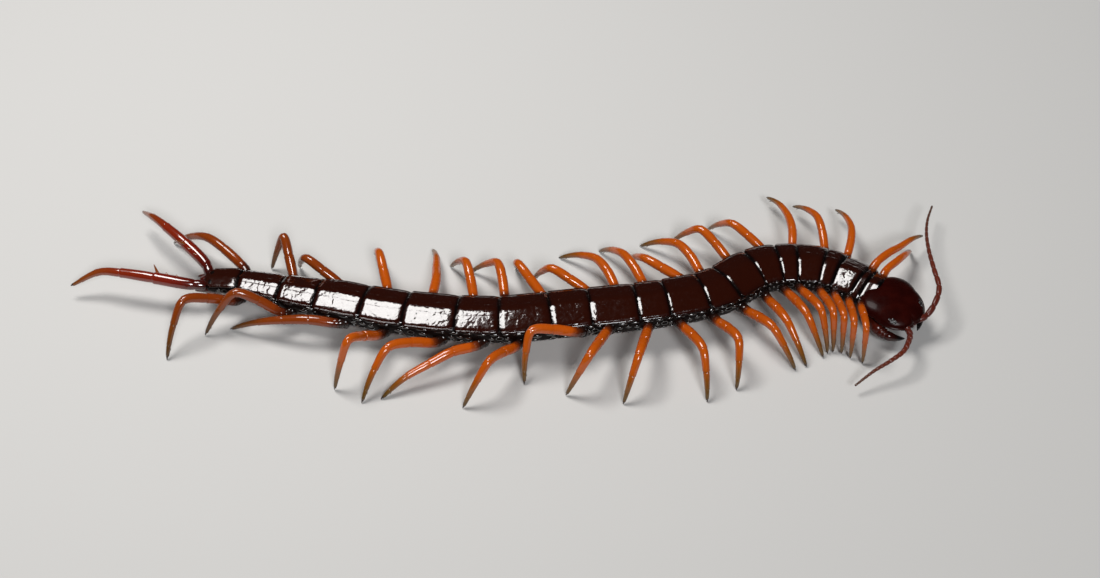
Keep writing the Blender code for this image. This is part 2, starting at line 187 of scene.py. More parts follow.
back_line = through(SPINE, 24)
back_table = [(0.0, back_line[0])]
for before, point in zip(back_line, back_line[1:]):
    back_table.append((back_table[-1][0] + (point - before).length, point))
BACK_LENGTH = back_table[-1][0]


def on_spine(distance):
    """Place and forward direction of the back at a distance from the neck."""
    for (s0, p0), (s1, p1) in zip(back_table, back_table[1:]):
        if distance <= s1:
            break
    return p0.lerp(p1, (distance - s0) / (s1 - s0)), (p0 - p1).normalized()


def between(known, number):
    """A value given at some segment numbers, at any other, which may be a fraction."""
    marks = sorted(known)
    number = min(max(number, marks[0]), marks[-1])
    for low, high in zip(marks, marks[1:]):
        if number <= high:
            share = (number - low) / (high - low)
            return known[low] * (1 - share) + known[high] * share


def half_width(number):
    return between(HALF_WIDTHS, number)


def centre_height(number):
    """The height of the body's middle at a segment number."""
    tail = min(max((number - 17) / 4, 0.0), 1.0)
    return BELLY_CLEARANCE + TAIL_RISE * tail + half_width(number) * FLATNESS


def guide_line(name, points):
    """A bare curve through the points, which a straight piece is bent along."""
    data = bpy.data.curves.new(name, "CURVE")
    data.dimensions = "3D"
    data.twist_mode = "Z_UP"
    spline = data.splines.new("POLY")
    spline.points.add(len(points) - 1)
    for knot, point in zip(spline.points, points):
        knot.co = (*point.to_3d(), 1.0)
    guide = bpy.data.objects.new(name, data)
    bpy.context.scene.collection.objects.link(guide)
    return guide


back_guide = guide_line("back_guide", back_line[::-1])


def apply_modifiers(piece):
    bpy.context.view_layer.objects.active = piece
    for modifier in list(piece.modifiers):
        bpy.ops.object.modifier_apply(modifier=modifier.name)


def bend(piece, guide):
    """Lays a piece that runs along X over the guide line, from its start at X = 0."""
    bow = piece.modifiers.new("bend", "CURVE")
    bow.object = guide
    bow.deform_axis = "POS_X"
    apply_modifiers(piece)


def copy_of(pattern, name):
    """A new piece with a mesh of its own like the pattern's."""
    piece = bpy.data.objects.new(name, pattern.data.copy())
    piece.data.name = name
    bpy.context.scene.collection.objects.link(piece)
    return piece


def pick(*pieces):
    """Selects these pieces alone and makes the first one active."""
    bpy.ops.object.select_all(action="DESELECT")
    for piece in pieces:
        piece.select_set(True)
    bpy.context.view_layer.objects.active = pieces[0]


def settle(piece, finish, sharp=40.0):
    """Brings a finished piece to metres and the frame's origin, with its material and smooth faces."""
    pick(piece)
    piece.data.transform(Matrix.Scale(MM, 4) @ Matrix.Translation(-MIDDLE))
    piece.data.materials.clear()
    piece.data.materials.append(finish)
    bpy.ops.object.shade_smooth_by_angle(angle=math.radians(sharp))


def mark(piece, name, values):
    """Keeps a number for each vertex, which the material reads."""
    layer = piece.data.attributes.new(name, "FLOAT", "POINT")
    layer.data.foreach_set("value", values)


def shell(name, colours, by=None, blotch=0.35, blotch_size=2.5, gloss=(0.12, 0.26), grain=0.010,
          swell=0.05, swell_size=2.2, dents=0.0, coat=0.35, coat_bend=1.5, shine=0.5):
    """Hard glossy shell: a ramp of colours in soft blotches, uneven gloss, pits, swells and sparse dents.

    Sizes and depths are in millimetres. by names a mark of the piece that leads the ramp.
    """
    finish = bpy.data.materials.new(name)
    finish.use_nodes = True
    nodes, links = finish.node_tree.nodes, finish.node_tree.links
    shader = nodes["Principled BSDF"]
    place = nodes.new("ShaderNodeTexCoord").outputs["Object"]

    def clouds(size, detail):
        cloud = nodes.new("ShaderNodeTexNoise")
        cloud.inputs["Scale"].default_value = 1.0 / (size * MM)
        cloud.inputs["Detail"].default_value = detail
        links.new(place, cloud.inputs["Vector"])
        return cloud.outputs["Fac"]

    def number_node(operation, first, second):
        step = nodes.new("ShaderNodeMath")
        step.operation = operation
        for socket, value in zip(step.inputs, (first, second)):
            if isinstance(value, float):
                socket.default_value = value
            else:
                links.new(value, socket)
        return step.outputs["Value"]

    def spread(value, low, high, to_low=0.0, to_high=1.0):
        step = nodes.new("ShaderNodeMapRange")
        edges = {"From Min": low, "From Max": high, "To Min": to_low, "To Max": to_high}
        for socket, edge in edges.items():
            step.inputs[socket].default_value = edge
        links.new(value, step.inputs["Value"])
        return step.outputs["Result"]

    def relief(height, depth, under=None, sunk=False):
        step = nodes.new("ShaderNodeBump")
        step.invert = sunk
        step.inputs["Distance"].default_value = depth * MM
        links.new(height, step.inputs["Height"])
        if under:
            links.new(under, step.inputs["Normal"])
        return step.outputs["Normal"]

    stain = number_node("SUBTRACT", clouds(blotch_size, 4.0), 0.5)
    stain = number_node("MULTIPLY", stain, blotch)
    if by:
        lead = nodes.new("ShaderNodeAttribute")
        lead.attribute_name = by
        stain = number_node("ADD", stain, lead.outputs["Fac"])
    else:
        stain = number_node("ADD", stain, 0.5)
    ramp = nodes.new("ShaderNodeValToRGB")
    while len(ramp.color_ramp.elements) < len(colours):
        ramp.color_ramp.elements.new(0.5)
    for element, (position, colour) in zip(ramp.color_ramp.elements, colours):
        element.position = position
        element.color = (*colour, 1.0)
    links.new(stain, ramp.inputs["Fac"])
    links.new(ramp.outputs["Color"], shader.inputs["Base Color"])
    links.new(spread(clouds(GLOSS_SIZE, 6.0), 0.3, 0.7, *gloss), shader.inputs["Roughness"])

    surface = relief(clouds(swell_size, 2.0), swell)
    if dents:
        surface = relief(spread(clouds(DENT_SIZE, 1.0), *DENTS_BETWEEN), dents, surface, sunk=True)
    links.new(relief(clouds(PIT_SIZE, 3.0), grain, surface), shader.inputs["Normal"])
    links.new(surface, shader.inputs["Coat Normal"])
    shader.inputs["IOR"].default_value = SHELL_BEND
    shader.inputs["Specular IOR Level"].default_value = shine
    shader.inputs["Coat Weight"].default_value = coat
    shader.inputs["Coat Roughness"].default_value = COAT_ROUGHNESS
    shader.inputs["Coat IOR"].default_value = coat_bend
    return finish


bpy.ops.object.select_all(action="DESELECT")
bpy.ops.mesh.primitive_grid_add(x_subdivisions=14, y_subdivisions=24, size=2)
plate_pattern = bpy.context.object
plate_pattern.name = "plate_pattern"
bpy.ops.object.mode_set(mode="EDIT")
for side in (1, -1):
    for cut in SEAM_CUTS + RIM_CUTS:
        bpy.ops.mesh.select_all(action="SELECT")
        bpy.ops.mesh.bisect(plane_co=(0, side * cut, 0), plane_no=(0, 1, 0))
    for cut in LIP_CUTS:
        bpy.ops.mesh.select_all(action="SELECT")
        bpy.ops.mesh.bisect(plane_co=(side * cut, 0, 0), plane_no=(1, 0, 0))
bpy.ops.object.mode_set(mode="OBJECT")


def hump(value, centre, reach):
    """A smooth bump of height 1 round a centre."""
    return math.exp(-((value - centre) / reach) ** 2)


def along_plate(number, u, across):
    """How far a point lies in front of the plate's hind edge, and how long the plate is."""
    length = SEGMENTS[number - 1] + LAP_AHEAD + LAP_BEHIND
    lip = min(LIP_LENGTH, 0.3 * length)
    if u < LIP_SPAN:
        behind = u / LIP_SPAN * lip
    elif u > 1 - LIP_SPAN:
        behind = length - (1 - u) / LIP_SPAN * lip
    else:
        behind = lip + (u - LIP_SPAN) / (1 - 2 * LIP_SPAN) * (length - 2 * lip)
    corner = max(0.0, (across - 0.70) / 0.30) ** 2
    rounding = min(0.9, 0.2 * length)
    if number == len(SEGMENTS) and u < 0.5:
        corner = across ** 2.5
        rounding = END_LOBE
    behind += corner * rounding * (1 - 2 * behind / length)
    return behind, length


def plate_points(piece, number):
    """Each vertex of a copy of the pattern, with its place across and along the segment's plate."""
    for vertex in piece.data.vertices:
        v = vertex.co.y
        behind, length = along_plate(number, (vertex.co.x + 1) / 2, abs(v))
        yield vertex, v, behind, length, number + 0.5 - behind / length


def shape_back_plate(piece, number):
    """Stretches a copy of the pattern to its segment, arches it and forms its lips, seams and rims."""
    border = []
    for vertex, v, behind, length, place in plate_points(piece, number):
        across = abs(v)
        ahead = length - behind
        body = half_width(place)
        half = body * PLATE_SHARE * (1 - FRONT_TAPER * max(0.0, 1 - ahead / (0.4 * length)) ** 2)
        slope = between(PLATE_SLOPE, number)
        drop = slope * (math.hypot(v, RIDGE_SOFTNESS) - RIDGE_SOFTNESS)
        drop += between(PLATE_ROUNDING, number) * v * v
        drop += SIDE_FLARE * max(0.0, (across - 0.76) / 0.24) ** 2
        height = centre_height(place) + body * FLATNESS - half * drop
        height += between(NECK_RISE, number) * (behind - 0.5 * length)
        if number == len(SEGMENTS):
            height -= TAIL_DROOP * ahead ** 2
        lip = min(LIP_LENGTH, 0.3 * length)
        if number == 1:
            height -= FIRST_DIP * max(0.0, 1 - ahead / LAP_AHEAD) ** 2
        else:
            height -= FRONT_DIP * max(0.0, 1 - ahead / (1.25 * lip)) ** between(LIP_CURVE, number)
        hind_lip = between(LIP_SHARE, number) * lip
        height -= HIND_DIP * max(0.0, 1 - behind / hind_lip) ** between(LIP_CURVE, number)
        if number in SEAMED:
            middle = min(1.0, min(ahead, behind) / lip)
            height -= SEAM_DEPTH * hump(across, SEAM_PLACE, 0.024) * middle
        if number >= RIM_FROM:
            height += RIM_HEIGHT * hump(across, 0.955, 0.022) - RIM_GROOVE * hump(across, 0.90, 0.02)
        else:
            height += EDGE_BEAD * hump(across, 0.965, 0.02)
        distance = STARTS[number] + LAP_BEHIND - behind
        height += UNEVENNESS * noise.noise(Vector((distance * 0.45, v * 2.2, number * 3.7)))
        vertex.co = (BACK_LENGTH - distance, v * half, height)
        edge = max(1 - behind / 1.0, 1 - (ahead - LAP_AHEAD) / 1.1, (across - 0.86) / 0.14 * 0.7)
        border.append(min(max(edge, 0.0), 1.0))
    mark(piece, "border", border)


def thicken(piece, thickness):
    """Gives a sheet its wall, on the inner side."""
    wall = piece.modifiers.new("wall", "SOLIDIFY")
    wall.thickness = thickness
    wall.offset = -1.0


plate_shell = shell("plate_shell", PLATE_COLOURS, by="border", blotch=0.5, blotch_size=1.6,
                    gloss=(0.10, 0.22), swell=0.07, swell_size=1.7, dents=0.030, coat=1.0, shine=0.2)
TRUNKS = [f"trunk_{number}" for number in range(1, 8)]
for number in range(1, len(SEGMENTS) + 1):
    plate = copy_of(plate_pattern, f"back_plate_{number:02d}")
    shape_back_plate(plate, number)
    thicken(plate, PLATE_WALL)
    round_off = plate.modifiers.new("round_off", "SUBSURF")
    round_off.levels = round_off.render_levels = 1
    bend(plate, back_guide)
    settle(plate, plate_shell)
    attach(plate, "root")
    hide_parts(TRUNKS[(number - 1) // 3])

# ---- The trunk ----
# Under the plates the body is a soft, folded tube, drawn in where two segments meet. Its flanks are
# leathery and almost black, wet-looking, and it closes round behind the last plate.
SKIN_SIDES = 64
SKIN_RINGS = 330
SKIN_SHARE = 0.95
SKIN_TOP = {1: 0.55, 3: 0.60, 5: 0.84, 19: 0.84, 21: 0.66}
SKIN_BELLY = 0.95
SQUARENESS = 2.5
TAIL_START = 0.9
NECK_REACH = 1.6
CLOSING = 2.2  # how long the tube takes to round off at its two ends
WAIST_DEPTH = 0.10  # over the half width
WAIST_REACH = 0.8
FOLD_DEPTH = 0.16
SKIN_COLOURS = (
    (0.25, (0.0035, 0.0018, 0.0016)), (0.5, (0.008, 0.0032, 0.0024)), (0.85, (0.045, 0.016, 0.008)),
)


def segment_at(distance):
    """The segment at a distance from the neck, and how far into it from 0 to 1."""
    for number in range(1, len(SEGMENTS) + 1):
        if distance < STARTS[number] or number == len(SEGMENTS):
            share = (distance - STARTS[number - 1]) / SEGMENTS[number - 1]
            return number, min(max(share, 0.0), 1.0)


def ball_cage(name, segments, rings):
    """A ball of radius 1, from which a rounded piece is shaped."""
    bpy.ops.object.select_all(action="DESELECT")
    bpy.ops.mesh.primitive_uv_sphere_add(segments=segments, ring_count=rings, radius=1.0)
    cage = bpy.context.object
    cage.name = cage.data.name = name
    return cage


def superellipse(wave):
    """A cosine or sine of the turn, pushed outwards to the body's squarer section."""
    return math.copysign(abs(wave) ** (2 / SQUARENESS), wave)


trunk_skin = ball_cage("trunk_skin", SKIN_SIDES, SKIN_RINGS)
flank_tone = []
for vertex in trunk_skin.data.vertices:
    share = 1 - math.acos(min(max(vertex.co.z, -1.0), 1.0)) / math.pi
    turn = math.atan2(vertex.co.y, vertex.co.x) if abs(vertex.co.z) < 0.999999 else 0.0
    x = TAIL_START + share * (BACK_LENGTH + NECK_REACH - TAIL_START)
    distance = BACK_LENGTH - x
    number, part = segment_at(distance)
    place = number - 0.5 + part
    nearest = min(part, 1 - part) * SEGMENTS[number - 1]
    ends = min(x - TAIL_START, BACK_LENGTH + NECK_REACH - x, CLOSING) / CLOSING
    closing = math.sqrt(max(1 - (1 - ends) ** 2, 0.0))
    waist = 1 - WAIST_DEPTH * hump(nearest, 0.0, WAIST_REACH)
    side_ways = superellipse(math.cos(turn))
    up = superellipse(math.sin(turn))
    flank = 1 - abs(math.sin(turn)) ** 2
    folds = noise.noise(Vector((x * 0.9, turn * 2.5, 0.0)))
    folds += 0.5 * noise.noise(Vector((x * 2.1, turn * 5.0, 9.0)))
    half = half_width(place)
    width = half * SKIN_SHARE * waist * closing + FOLD_DEPTH * folds * flank * closing
    depth = half * FLATNESS * (between(SKIN_TOP, place) if up > 0 else SKIN_BELLY) * waist * closing
    vertex.co = (x, side_ways * width, centre_height(place) + up * depth)
    flank_tone.append(0.30 + 0.55 * max(0.0, -up))
mark(trunk_skin, "belly", flank_tone)
bpy.ops.object.mode_set(mode="EDIT")
bpy.ops.mesh.select_all(action="SELECT")
bpy.ops.mesh.remove_doubles(threshold=0.001)
bpy.ops.mesh.normals_make_consistent(inside=False)
bpy.ops.object.mode_set(mode="OBJECT")
bend(trunk_skin, back_guide)
soft_skin = shell("soft_skin", SKIN_COLOURS, by="belly", blotch=0.3, gloss=(0.22, 0.40), grain=0.012,
                  swell=0.06, swell_size=0.9, coat=0.0, shine=0.08)
settle(trunk_skin, soft_skin, sharp=80.0)
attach(trunk_skin, "root")
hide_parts(*TRUNKS)

# ---- The belly plates ----
# Each segment has one flat, squarish plate underneath, of thinner amber-brown shell with two seams,
# set into the soft skin between the two rows of legs.
BELLY_SHARE = 0.60  # a plate's half width over the body's
BELLY_INSET = 0.985
BELLY_DIP = 0.30  # how deep a plate's front and hind edges are sunk into the skin
BELLY_SIDE_DIP = 0.25  # and its sides
BELLY_SEAM = 0.05
BELLY_COLOURS = (
    (0.0, (0.15, 0.048, 0.014)), (0.5, (0.105, 0.03, 0.01)), (1.0, (0.03, 0.009, 0.005)),
)


def shape_belly_plate(piece, number):
    """Stretches a copy of the pattern to its segment under the body and forms its edges and seams."""
    border = []
    for vertex, v, behind, length, place in plate_points(piece, number):
        across = abs(v)
        ahead = length - behind
        body = half_width(place)
        half = body * BELLY_SHARE * (1 - 0.12 * (behind / length - 0.5) ** 2)
        roof = (1 - (across * BELLY_SHARE) ** SQUARENESS) ** (1 / SQUARENESS)
        depth = body * FLATNESS * roof * BELLY_INSET
        rim = max(0.0, 1 - min(ahead, behind) / 0.9) ** 2
        depth -= BELLY_DIP * rim + BELLY_SEAM * hump(across, SEAM_PLACE, 0.014)
        depth -= BELLY_SIDE_DIP * max(0.0, (across - 0.9) / 0.1) ** 2
        distance = STARTS[number] - behind
        vertex.co = (BACK_LENGTH - distance, v * half, centre_height(place) - depth)
        border.append(min(max(rim, (across - 0.8) / 0.2), 1.0))
    mark(piece, "border", border)


belly_shell = shell("belly_shell", BELLY_COLOURS, by="border", blotch=0.6, blotch_size=2.0,
                    gloss=(0.2, 0.36))
for number in range(1, len(SEGMENTS) + 1):
    plate = copy_of(plate_pattern, f"belly_plate_{number:02d}")
    shape_belly_plate(plate, number)
    pick(plate)
    bpy.ops.object.mode_set(mode="EDIT")
    bpy.ops.mesh.select_all(action="SELECT")
    bpy.ops.mesh.flip_normals()
    bpy.ops.object.mode_set(mode="OBJECT")
    thicken(plate, PLATE_WALL)
    bend(plate, back_guide)
    settle(plate, belly_shell)
    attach(plate, "root")
    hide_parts(TRUNKS[(number - 1) // 3])
bpy.data.objects.remove(plate_pattern)

# ---- The walking legs ----
# Forty legs of glossy orange shell that turns olive towards the tips. Each has a dark ring and coxa at
# the body, darkened further as painted shade where the body shades the leg's base, a short trochanter
# and five hollow articles, each of which sits with a narrow neck in the flared cup of the one before and
# moves on soft skin.
FIRST_LEG = 19.0
LEG_GROWTH = 0.45
COXA_LENGTH = 2.6
COXA_SHARE = 0.65
ROOT_INSET = 0.55
HIP_INSET = 0.75
ROOT_DROP = 1.3
ROOT_SHARE = -0.14  # where the coxa starts, as a share of the leg before its trochanter
RIGHT_LENGTHS = {1: 1.0, 14: 1.0, 16: 1.03, 18: 1.05, 19: 1.0, 20: 1.0}
LEFT_LENGTHS = {
    1: 0.97, 3: 1.05, 5: 1.06, 8: 1.05, 9: 0.96, 11: 1.0, 13: 0.89, 17: 0.85, 19: 0.84, 20: 1.0,
}
THIGH_SHARE = 0.46
LEG_BULGE = 0.07
# For each leg, first to last: swing back from square in degrees, reach of the foot in millimetres and
# how many degrees the knee leans forward from straight up.
RIGHT_STANCE = (
    (-35, 11, 0), (-35, 11, 0), (-35, 11.5, 0), (-28, 12.5, 0), (-25, 14.5, 0), (-20, 16.5, -10),
    (0, 18, -10), (-5, 17, -10), (5, 16, 15), (-5, 17.5, 10), (30, 17, 10), (45, 15.5, 20), (62, 15, -30),
    (48, 18, 10), (62, 24.5, -15), (45, 21, -20), (30, 15, 5), (84, 26.5, 15), (69, 19, -12),
    (36, 19.5, -20),
)
LEFT_STANCE = (
    (2, 16, 25), (-10, 19, 0), (28, 19.5, 40), (34, 19.5, 25), (14, 21, 40), (36, 18, -10),
    (21, 17.5, 5), (12, 20.5, 35), (25, 17.5, -30), (20, 20, 10), (32, 21, 40), (46, 16.5, -15),
    (15, 16.5, -20), (27, 17, 35), (25, 17.5, 15), (12, 21, 35), (27, 18, 0), (60, 16, -18),
    (55, 10.5, 18), (66, 24.5, 10),
)
# The hips' height in millimetres, and how far back in its segment each leg is rooted, at some legs.
RIGHT_HIPS = {
    1: 8.2, 5: 7.7, 6: 7.0, 7: 6.0, 8: 6.2, 12: 8.5, 13: 8.5, 14: 6.2, 18: 6.5, 19: 5.6, 20: 6.5,
}
LEFT_HIPS = {
    1: 7.8, 2: 8.5, 3: 6.3, 4: 6.5, 7: 5.2, 8: 6.4, 13: 6.0, 14: 7.2, 15: 6.3, 18: 5.6, 19: 5.0, 20: 6.8,
}
RIGHT_ROOTS = {
    1: 0.75, 2: 1.2, 3: 0.8, 4: 1.0, 7: 1.1, 11: 0.7, 12: 0.6, 13: 0.2, 14: 0.6, 15: 0.3, 16: 0.2,
    17: 0.35, 18: 0.2, 19: 0.5, 20: 0.85,
}
LEFT_ROOTS = {
    1: 0.5, 2: 1.0, 3: 0.9, 5: 1.0, 9: 1.25, 11: 1.35, 12: 0.8, 13: 1.0, 15: 0.6, 18: 0.55, 19: 0.75,
    20: 0.9,
}
# Legs held clear of the floor in mid stride, and the height of the claw's tip.
LIFTED = {(1, 2): 4.0, (1, 3): 3.0, (1, 4): 3.0, (1, 5): 3.0}
LEG_FULLNESS = {1: 0.78, 8: 1.0}  # how thick a leg is over the thickest ones
TOE_HEIGHT = 0.10  # of a claw's tip above the floor
LEG_SIDES = 18
COURSE_STEPS = 8
COLLAR_PLACE = 0.88  # of the body's half width
SPUR_AT = 0.868  # share of the leg where its spur starts
SPUR_SPAN = 0.035  # how far along the leg it reaches, as a share
SPUR_DROP = 0.95  # how far its tip stands below the leg's middle
SPUR_THICKNESS = 0.42
HOOK_THICKNESS = 0.38  # of the two small points beside each claw
HOOK_SPREAD = 0.24
# Each article's start and end as a share of the leg, and its outline as half thickness and share of length.
ARTICLES = {
    "coxa": ((ROOT_SHARE, 0.0), (
        (0, 0), (1.15, 0), (1.28, 0.1), (1.36, 0.35), (1.34, 0.6), (1.26, 0.8), (1.28, 0.93),
        (1.2, 1.0), (0.9, 0.98), (0, 0.94),
    )),
    "trochanter": ((-0.015, 0.05), (
        (0, 0), (0.98, 0), (1.13, 0.12), (1.2, 0.45), (1.19, 0.8), (1.12, 1.0), (0, 0.97),
    )),
    "prefemur": ((0.035, 0.232), (
        (0, 0), (0.98, 0), (1.06, 0.03), (1.13, 0.10), (1.17, 0.28), (1.19, 0.5), (1.19, 0.7),
        (1.18, 0.86), (1.20, 0.945), (1.185, 0.985), (1.08, 1.0), (0.9, 0.99), (0, 0.95),
    )),
    "femur": ((0.226, 0.462), (
        (0, 0), (0.97, 0), (1.05, 0.02), (1.10, 0.08), (1.15, 0.2), (1.15, 0.35), (1.13, 0.52),
        (1.10, 0.68), (1.07, 0.82), (1.06, 0.9), (1.08, 0.95), (1.065, 0.985), (0.96, 1.0),
        (0.75, 0.99), (0, 0.95),
    )),
    "tibia": ((0.456, 0.70), (
        (0, 0), (0.84, 0), (0.92, 0.02), (0.97, 0.08), (0.99, 0.18), (0.97, 0.32), (0.93, 0.5),
        (0.88, 0.7), (0.85, 0.86), (0.865, 0.95), (0.85, 0.985), (0.75, 1.0), (0.55, 0.99), (0, 0.95),
    )),
    "tarsus_1": ((0.695, 0.88), (
        (0, 0), (0.64, 0), (0.71, 0.025), (0.75, 0.1), (0.73, 0.28), (0.68, 0.5), (0.64, 0.7),
        (0.60, 0.87), (0.61, 0.95), (0.57, 1.0), (0.38, 0.99), (0, 0.96),
    )),
    "tarsus_2": ((0.876, 0.968), (
        (0, 0), (0.44, 0), (0.50, 0.03), (0.53, 0.14), (0.48, 0.5), (0.41, 0.85), (0.37, 0.96),
        (0.26, 1.0), (0, 1.0),
    )),
    "claw": ((0.955, 1.0), (
        (0, 0), (0.26, 0), (0.29, 0.1), (0.25, 0.35), (0.17, 0.65), (0.09, 0.9), (0.03, 0.985), (0, 1.0),
    )),
}
COLLAR_OUTLINE = ((0, 0), (1.48, 0), (1.60, 0.2), (1.64, 0.5), (1.56, 0.8), (1.40, 1.0), (0, 0.9))
# The soft skin in each joint, as share of the leg and half thickness.
LEG_JOINTS = ((0.0, 1.14), (0.229, 1.0), (0.459, 0.90), (0.697, 0.66), (0.878, 0.46))
# Colours along each leg from the body: near black at the coxa, dark red at the trochanter and fading to
# orange on the prefemur, partly the leg's own dark base and partly painted shade of the body over it; then
# orange, turning olive and darker towards the claw.
LEG_AND_BASE_SHADE_COLOURS = (
    (0.0, (0.006, 0.0025, 0.002)), (0.115, (0.016, 0.005, 0.003)), (0.155, (0.1, 0.016, 0.003)),
    (0.21, (0.47, 0.078, 0.003)), (0.68, (0.455, 0.082, 0.004)), (0.82, (0.215, 0.066, 0.006)),
    (0.94, (0.105, 0.052, 0.008)), (1.0, (0.045, 0.02, 0.007)),
)
# The rear legs' colours, deeper in tone, with the same painted shade at the base.
REAR_LEG_AND_BASE_SHADE_COLOURS = (
    (0.0, (0.006, 0.0025, 0.002)), (0.115, (0.016, 0.005, 0.003)), (0.155, (0.07, 0.01, 0.003)),
    (0.23, (0.215, 0.034, 0.003)), (0.66, (0.21, 0.038, 0.004)), (0.82, (0.145, 0.044, 0.006)),
    (0.95, (0.08, 0.036, 0.008)), (1.0, (0.035, 0.013, 0.006)),
)
# The painted shade at the base of these left legs is shorter, so they turn orange nearer to the body.
SHORTER_BASE_SHADE = {2: 0.10, 3: 0.035}  # how much nearer to the body the left legs turn orange
REAR_LEGS_FROM = 18
CLAW_COLOURS = ((0.35, (0.006, 0.003, 0.002)), (0.75, (0.045, 0.014, 0.006)))


def turned(name, outline, sides):
    """A piece turned round the Z axis from an outline of half thickness and height."""
    bpy.ops.object.select_all(action="DESELECT")
    bpy.ops.mesh.primitive_plane_add(size=1)
    piece = bpy.context.object
    piece.name = piece.data.name = name
    bpy.ops.object.mode_set(mode="EDIT")
    bpy.ops.mesh.merge(type="CENTER")
    bpy.ops.transform.translate(value=(outline[0][0], 0, outline[0][1]))
    for (r0, h0), (r1, h1) in zip(outline, outline[1:]):
        bpy.ops.mesh.extrude_region_move(TRANSFORM_OT_translate={"value": (r1 - r0, 0, h1 - h0)})
    bpy.ops.mesh.select_all(action="SELECT")
    bpy.ops.mesh.spin(steps=sides, angle=2 * math.pi, center=(0, 0, 0), axis=(0, 0, 1))
    bpy.ops.mesh.select_all(action="SELECT")
    bpy.ops.mesh.remove_doubles(threshold=0.0005)
    bpy.ops.mesh.normals_make_consistent(inside=False)
    bpy.ops.object.mode_set(mode="OBJECT")
    return piece


def join(name, parts):
    """The parts as one piece."""
    pick(*parts)
    if len(parts) > 1:
        bpy.ops.object.join()
    whole = parts[0]
    whole.name = whole.data.name = name
    return whole


def laid(pattern, start, end, back, fullness=1.0, bow=0.0, reach=(0.0, 1.0)):
    """A copy of a turned pattern of height 1 that runs from start to end, bowed out towards back."""

    def course(share):
        return start.lerp(end, share) + back * (bow * 4 * share * (1 - share))

    return laid_along(pattern, course, (0.0, 1.0), back, fullness, reach)


def laid_along(pattern, course, span, back, fullness=1.0, reach=(0.0, 1.0)):
    """A copy of a turned pattern of height 1 that follows a course over a span of its shares."""
    part = copy_of(pattern, pattern.name + "_copy")
    frames = {}
    reaches = []
    for vertex in part.data.vertices:
        x, y, t = vertex.co
        share = span[0] + (span[1] - span[0]) * t
        ring = round(t, 4)
        if ring not in frames:
            axis = (course(share + 0.01) - course(share - 0.01)).normalized()
            rise = (back - axis * back.dot(axis)).normalized()
            frames[ring] = course(share), rise * fullness, axis.cross(rise) * fullness
        centre, rise, beside = frames[ring]
        vertex.co = centre + rise * x + beside * y
        reaches.append(reach[0] + (reach[1] - reach[0]) * t)
    mark(part, "reach", reaches)
    return part


article_patterns = {name: turned(name, outline, LEG_SIDES) for name, (_, outline) in ARTICLES.items()}
collar_pattern = turned("collar_pattern", COLLAR_OUTLINE, LEG_SIDES)
ball_pattern = ball_cage("ball_pattern", 14, 8)


def horn(start, end, back, fullness=1.0, bow=0.0, reach=(0.0, 1.0)):
    """A claw, spur, spine or tooth: a tapering point from start to end."""
    return laid(article_patterns["claw"], start, end, back, fullness, bow, reach)


def ball(centre, size, reach, turn=None):
    """A squashed ball, for the soft skin at a joint or a small hard swelling."""
    part = copy_of(ball_pattern, "ball_copy")
    stretch = Matrix.Diagonal((*size, 1.0))
    part.data.transform(Matrix.Translation(centre) @ (turn or Matrix.Identity(4)) @ stretch)
    mark(part, "reach", [reach] * len(part.data.vertices))
    return part


def leg_course(side, number):
    """The leg's course by shares of its length, the way its knee points, and its collar's share."""
    swing, reach, lean = (LEFT_STANCE if side > 0 else RIGHT_STANCE)[number - 1]
    hip_height = between(LEFT_HIPS if side > 0 else RIGHT_HIPS, number)
    rooted = between(LEFT_ROOTS if side > 0 else RIGHT_ROOTS, number)
    length = FIRST_LEG + LEG_GROWTH * (number - 1)
    length *= between(LEFT_LENGTHS if side > 0 else RIGHT_LENGTHS, number)
    place, forward = on_spine(STARTS[number - 1] + rooted * SEGMENTS[number - 1])
    outward = Vector((-forward.y, forward.x)) * side
    width = half_width(number)

    def toward(degrees):
        turn = math.radians(degrees)
        return outward * math.cos(turn) - forward * math.sin(turn)

    root = Vector((*(place + outward * width * ROOT_INSET), centre_height(number) - ROOT_DROP))
    hip_plan = place + outward * width * HIP_INSET + toward(swing * COXA_SHARE) * COXA_LENGTH
    hip = Vector((*hip_plan, hip_height))
    foot = Vector((*(hip.xy + toward(swing) * reach), LIFTED.get((side, number), 0.0)))
    span = foot - hip
    thigh = length * THIGH_SHARE
    shin = length - thigh
    along = (thigh ** 2 - shin ** 2 + span.length_squared) / (2 * span.length)
    height = math.sqrt(max(thigh ** 2 - along ** 2, 0.0))
    axis = span.normalized()
    up = (Vector((0, 0, 1)) - axis * axis.z).normalized()
    ahead = axis.cross(up) * side
    lean = math.radians(lean)
    back = up * math.cos(lean) + ahead * math.sin(lean)
    knee = hip + axis * along + back * height

    def bent(share):
        if share <= THIGH_SHARE:
            t = share / THIGH_SHARE
            return hip.lerp(knee, t) + back * (4 * t * (1 - t) * LEG_BULGE * thigh)
        t = (share - THIGH_SHARE) / (1 - THIGH_SHARE)
        point = knee.lerp(foot, t) + back * (4 * t * (1 - t) * LEG_BULGE * shin)
        return point + Vector((0, 0, TOE_HEIGHT * t))

    marks = (ROOT_SHARE, 0.0, 0.23, THIGH_SHARE, 0.70, 0.88, 1.0)
    rounded = through([root] + [bent(share) for share in marks[1:]], COURSE_STEPS)

    def at(share):
        span = 0
        while span < len(marks) - 2 and share > marks[span + 1]:
            span += 1
        step = (span + (share - marks[span]) / (marks[span + 1] - marks[span])) * COURSE_STEPS
        whole = min(max(int(step), 0), len(rounded) - 2)
        return rounded[whole].lerp(rounded[whole + 1], step - whole)

    collar = ROOT_SHARE
    while collar < -0.02 and (at(collar).xy - place).dot(outward) < width * COLLAR_PLACE:
        collar += 0.005
    return at, back, collar


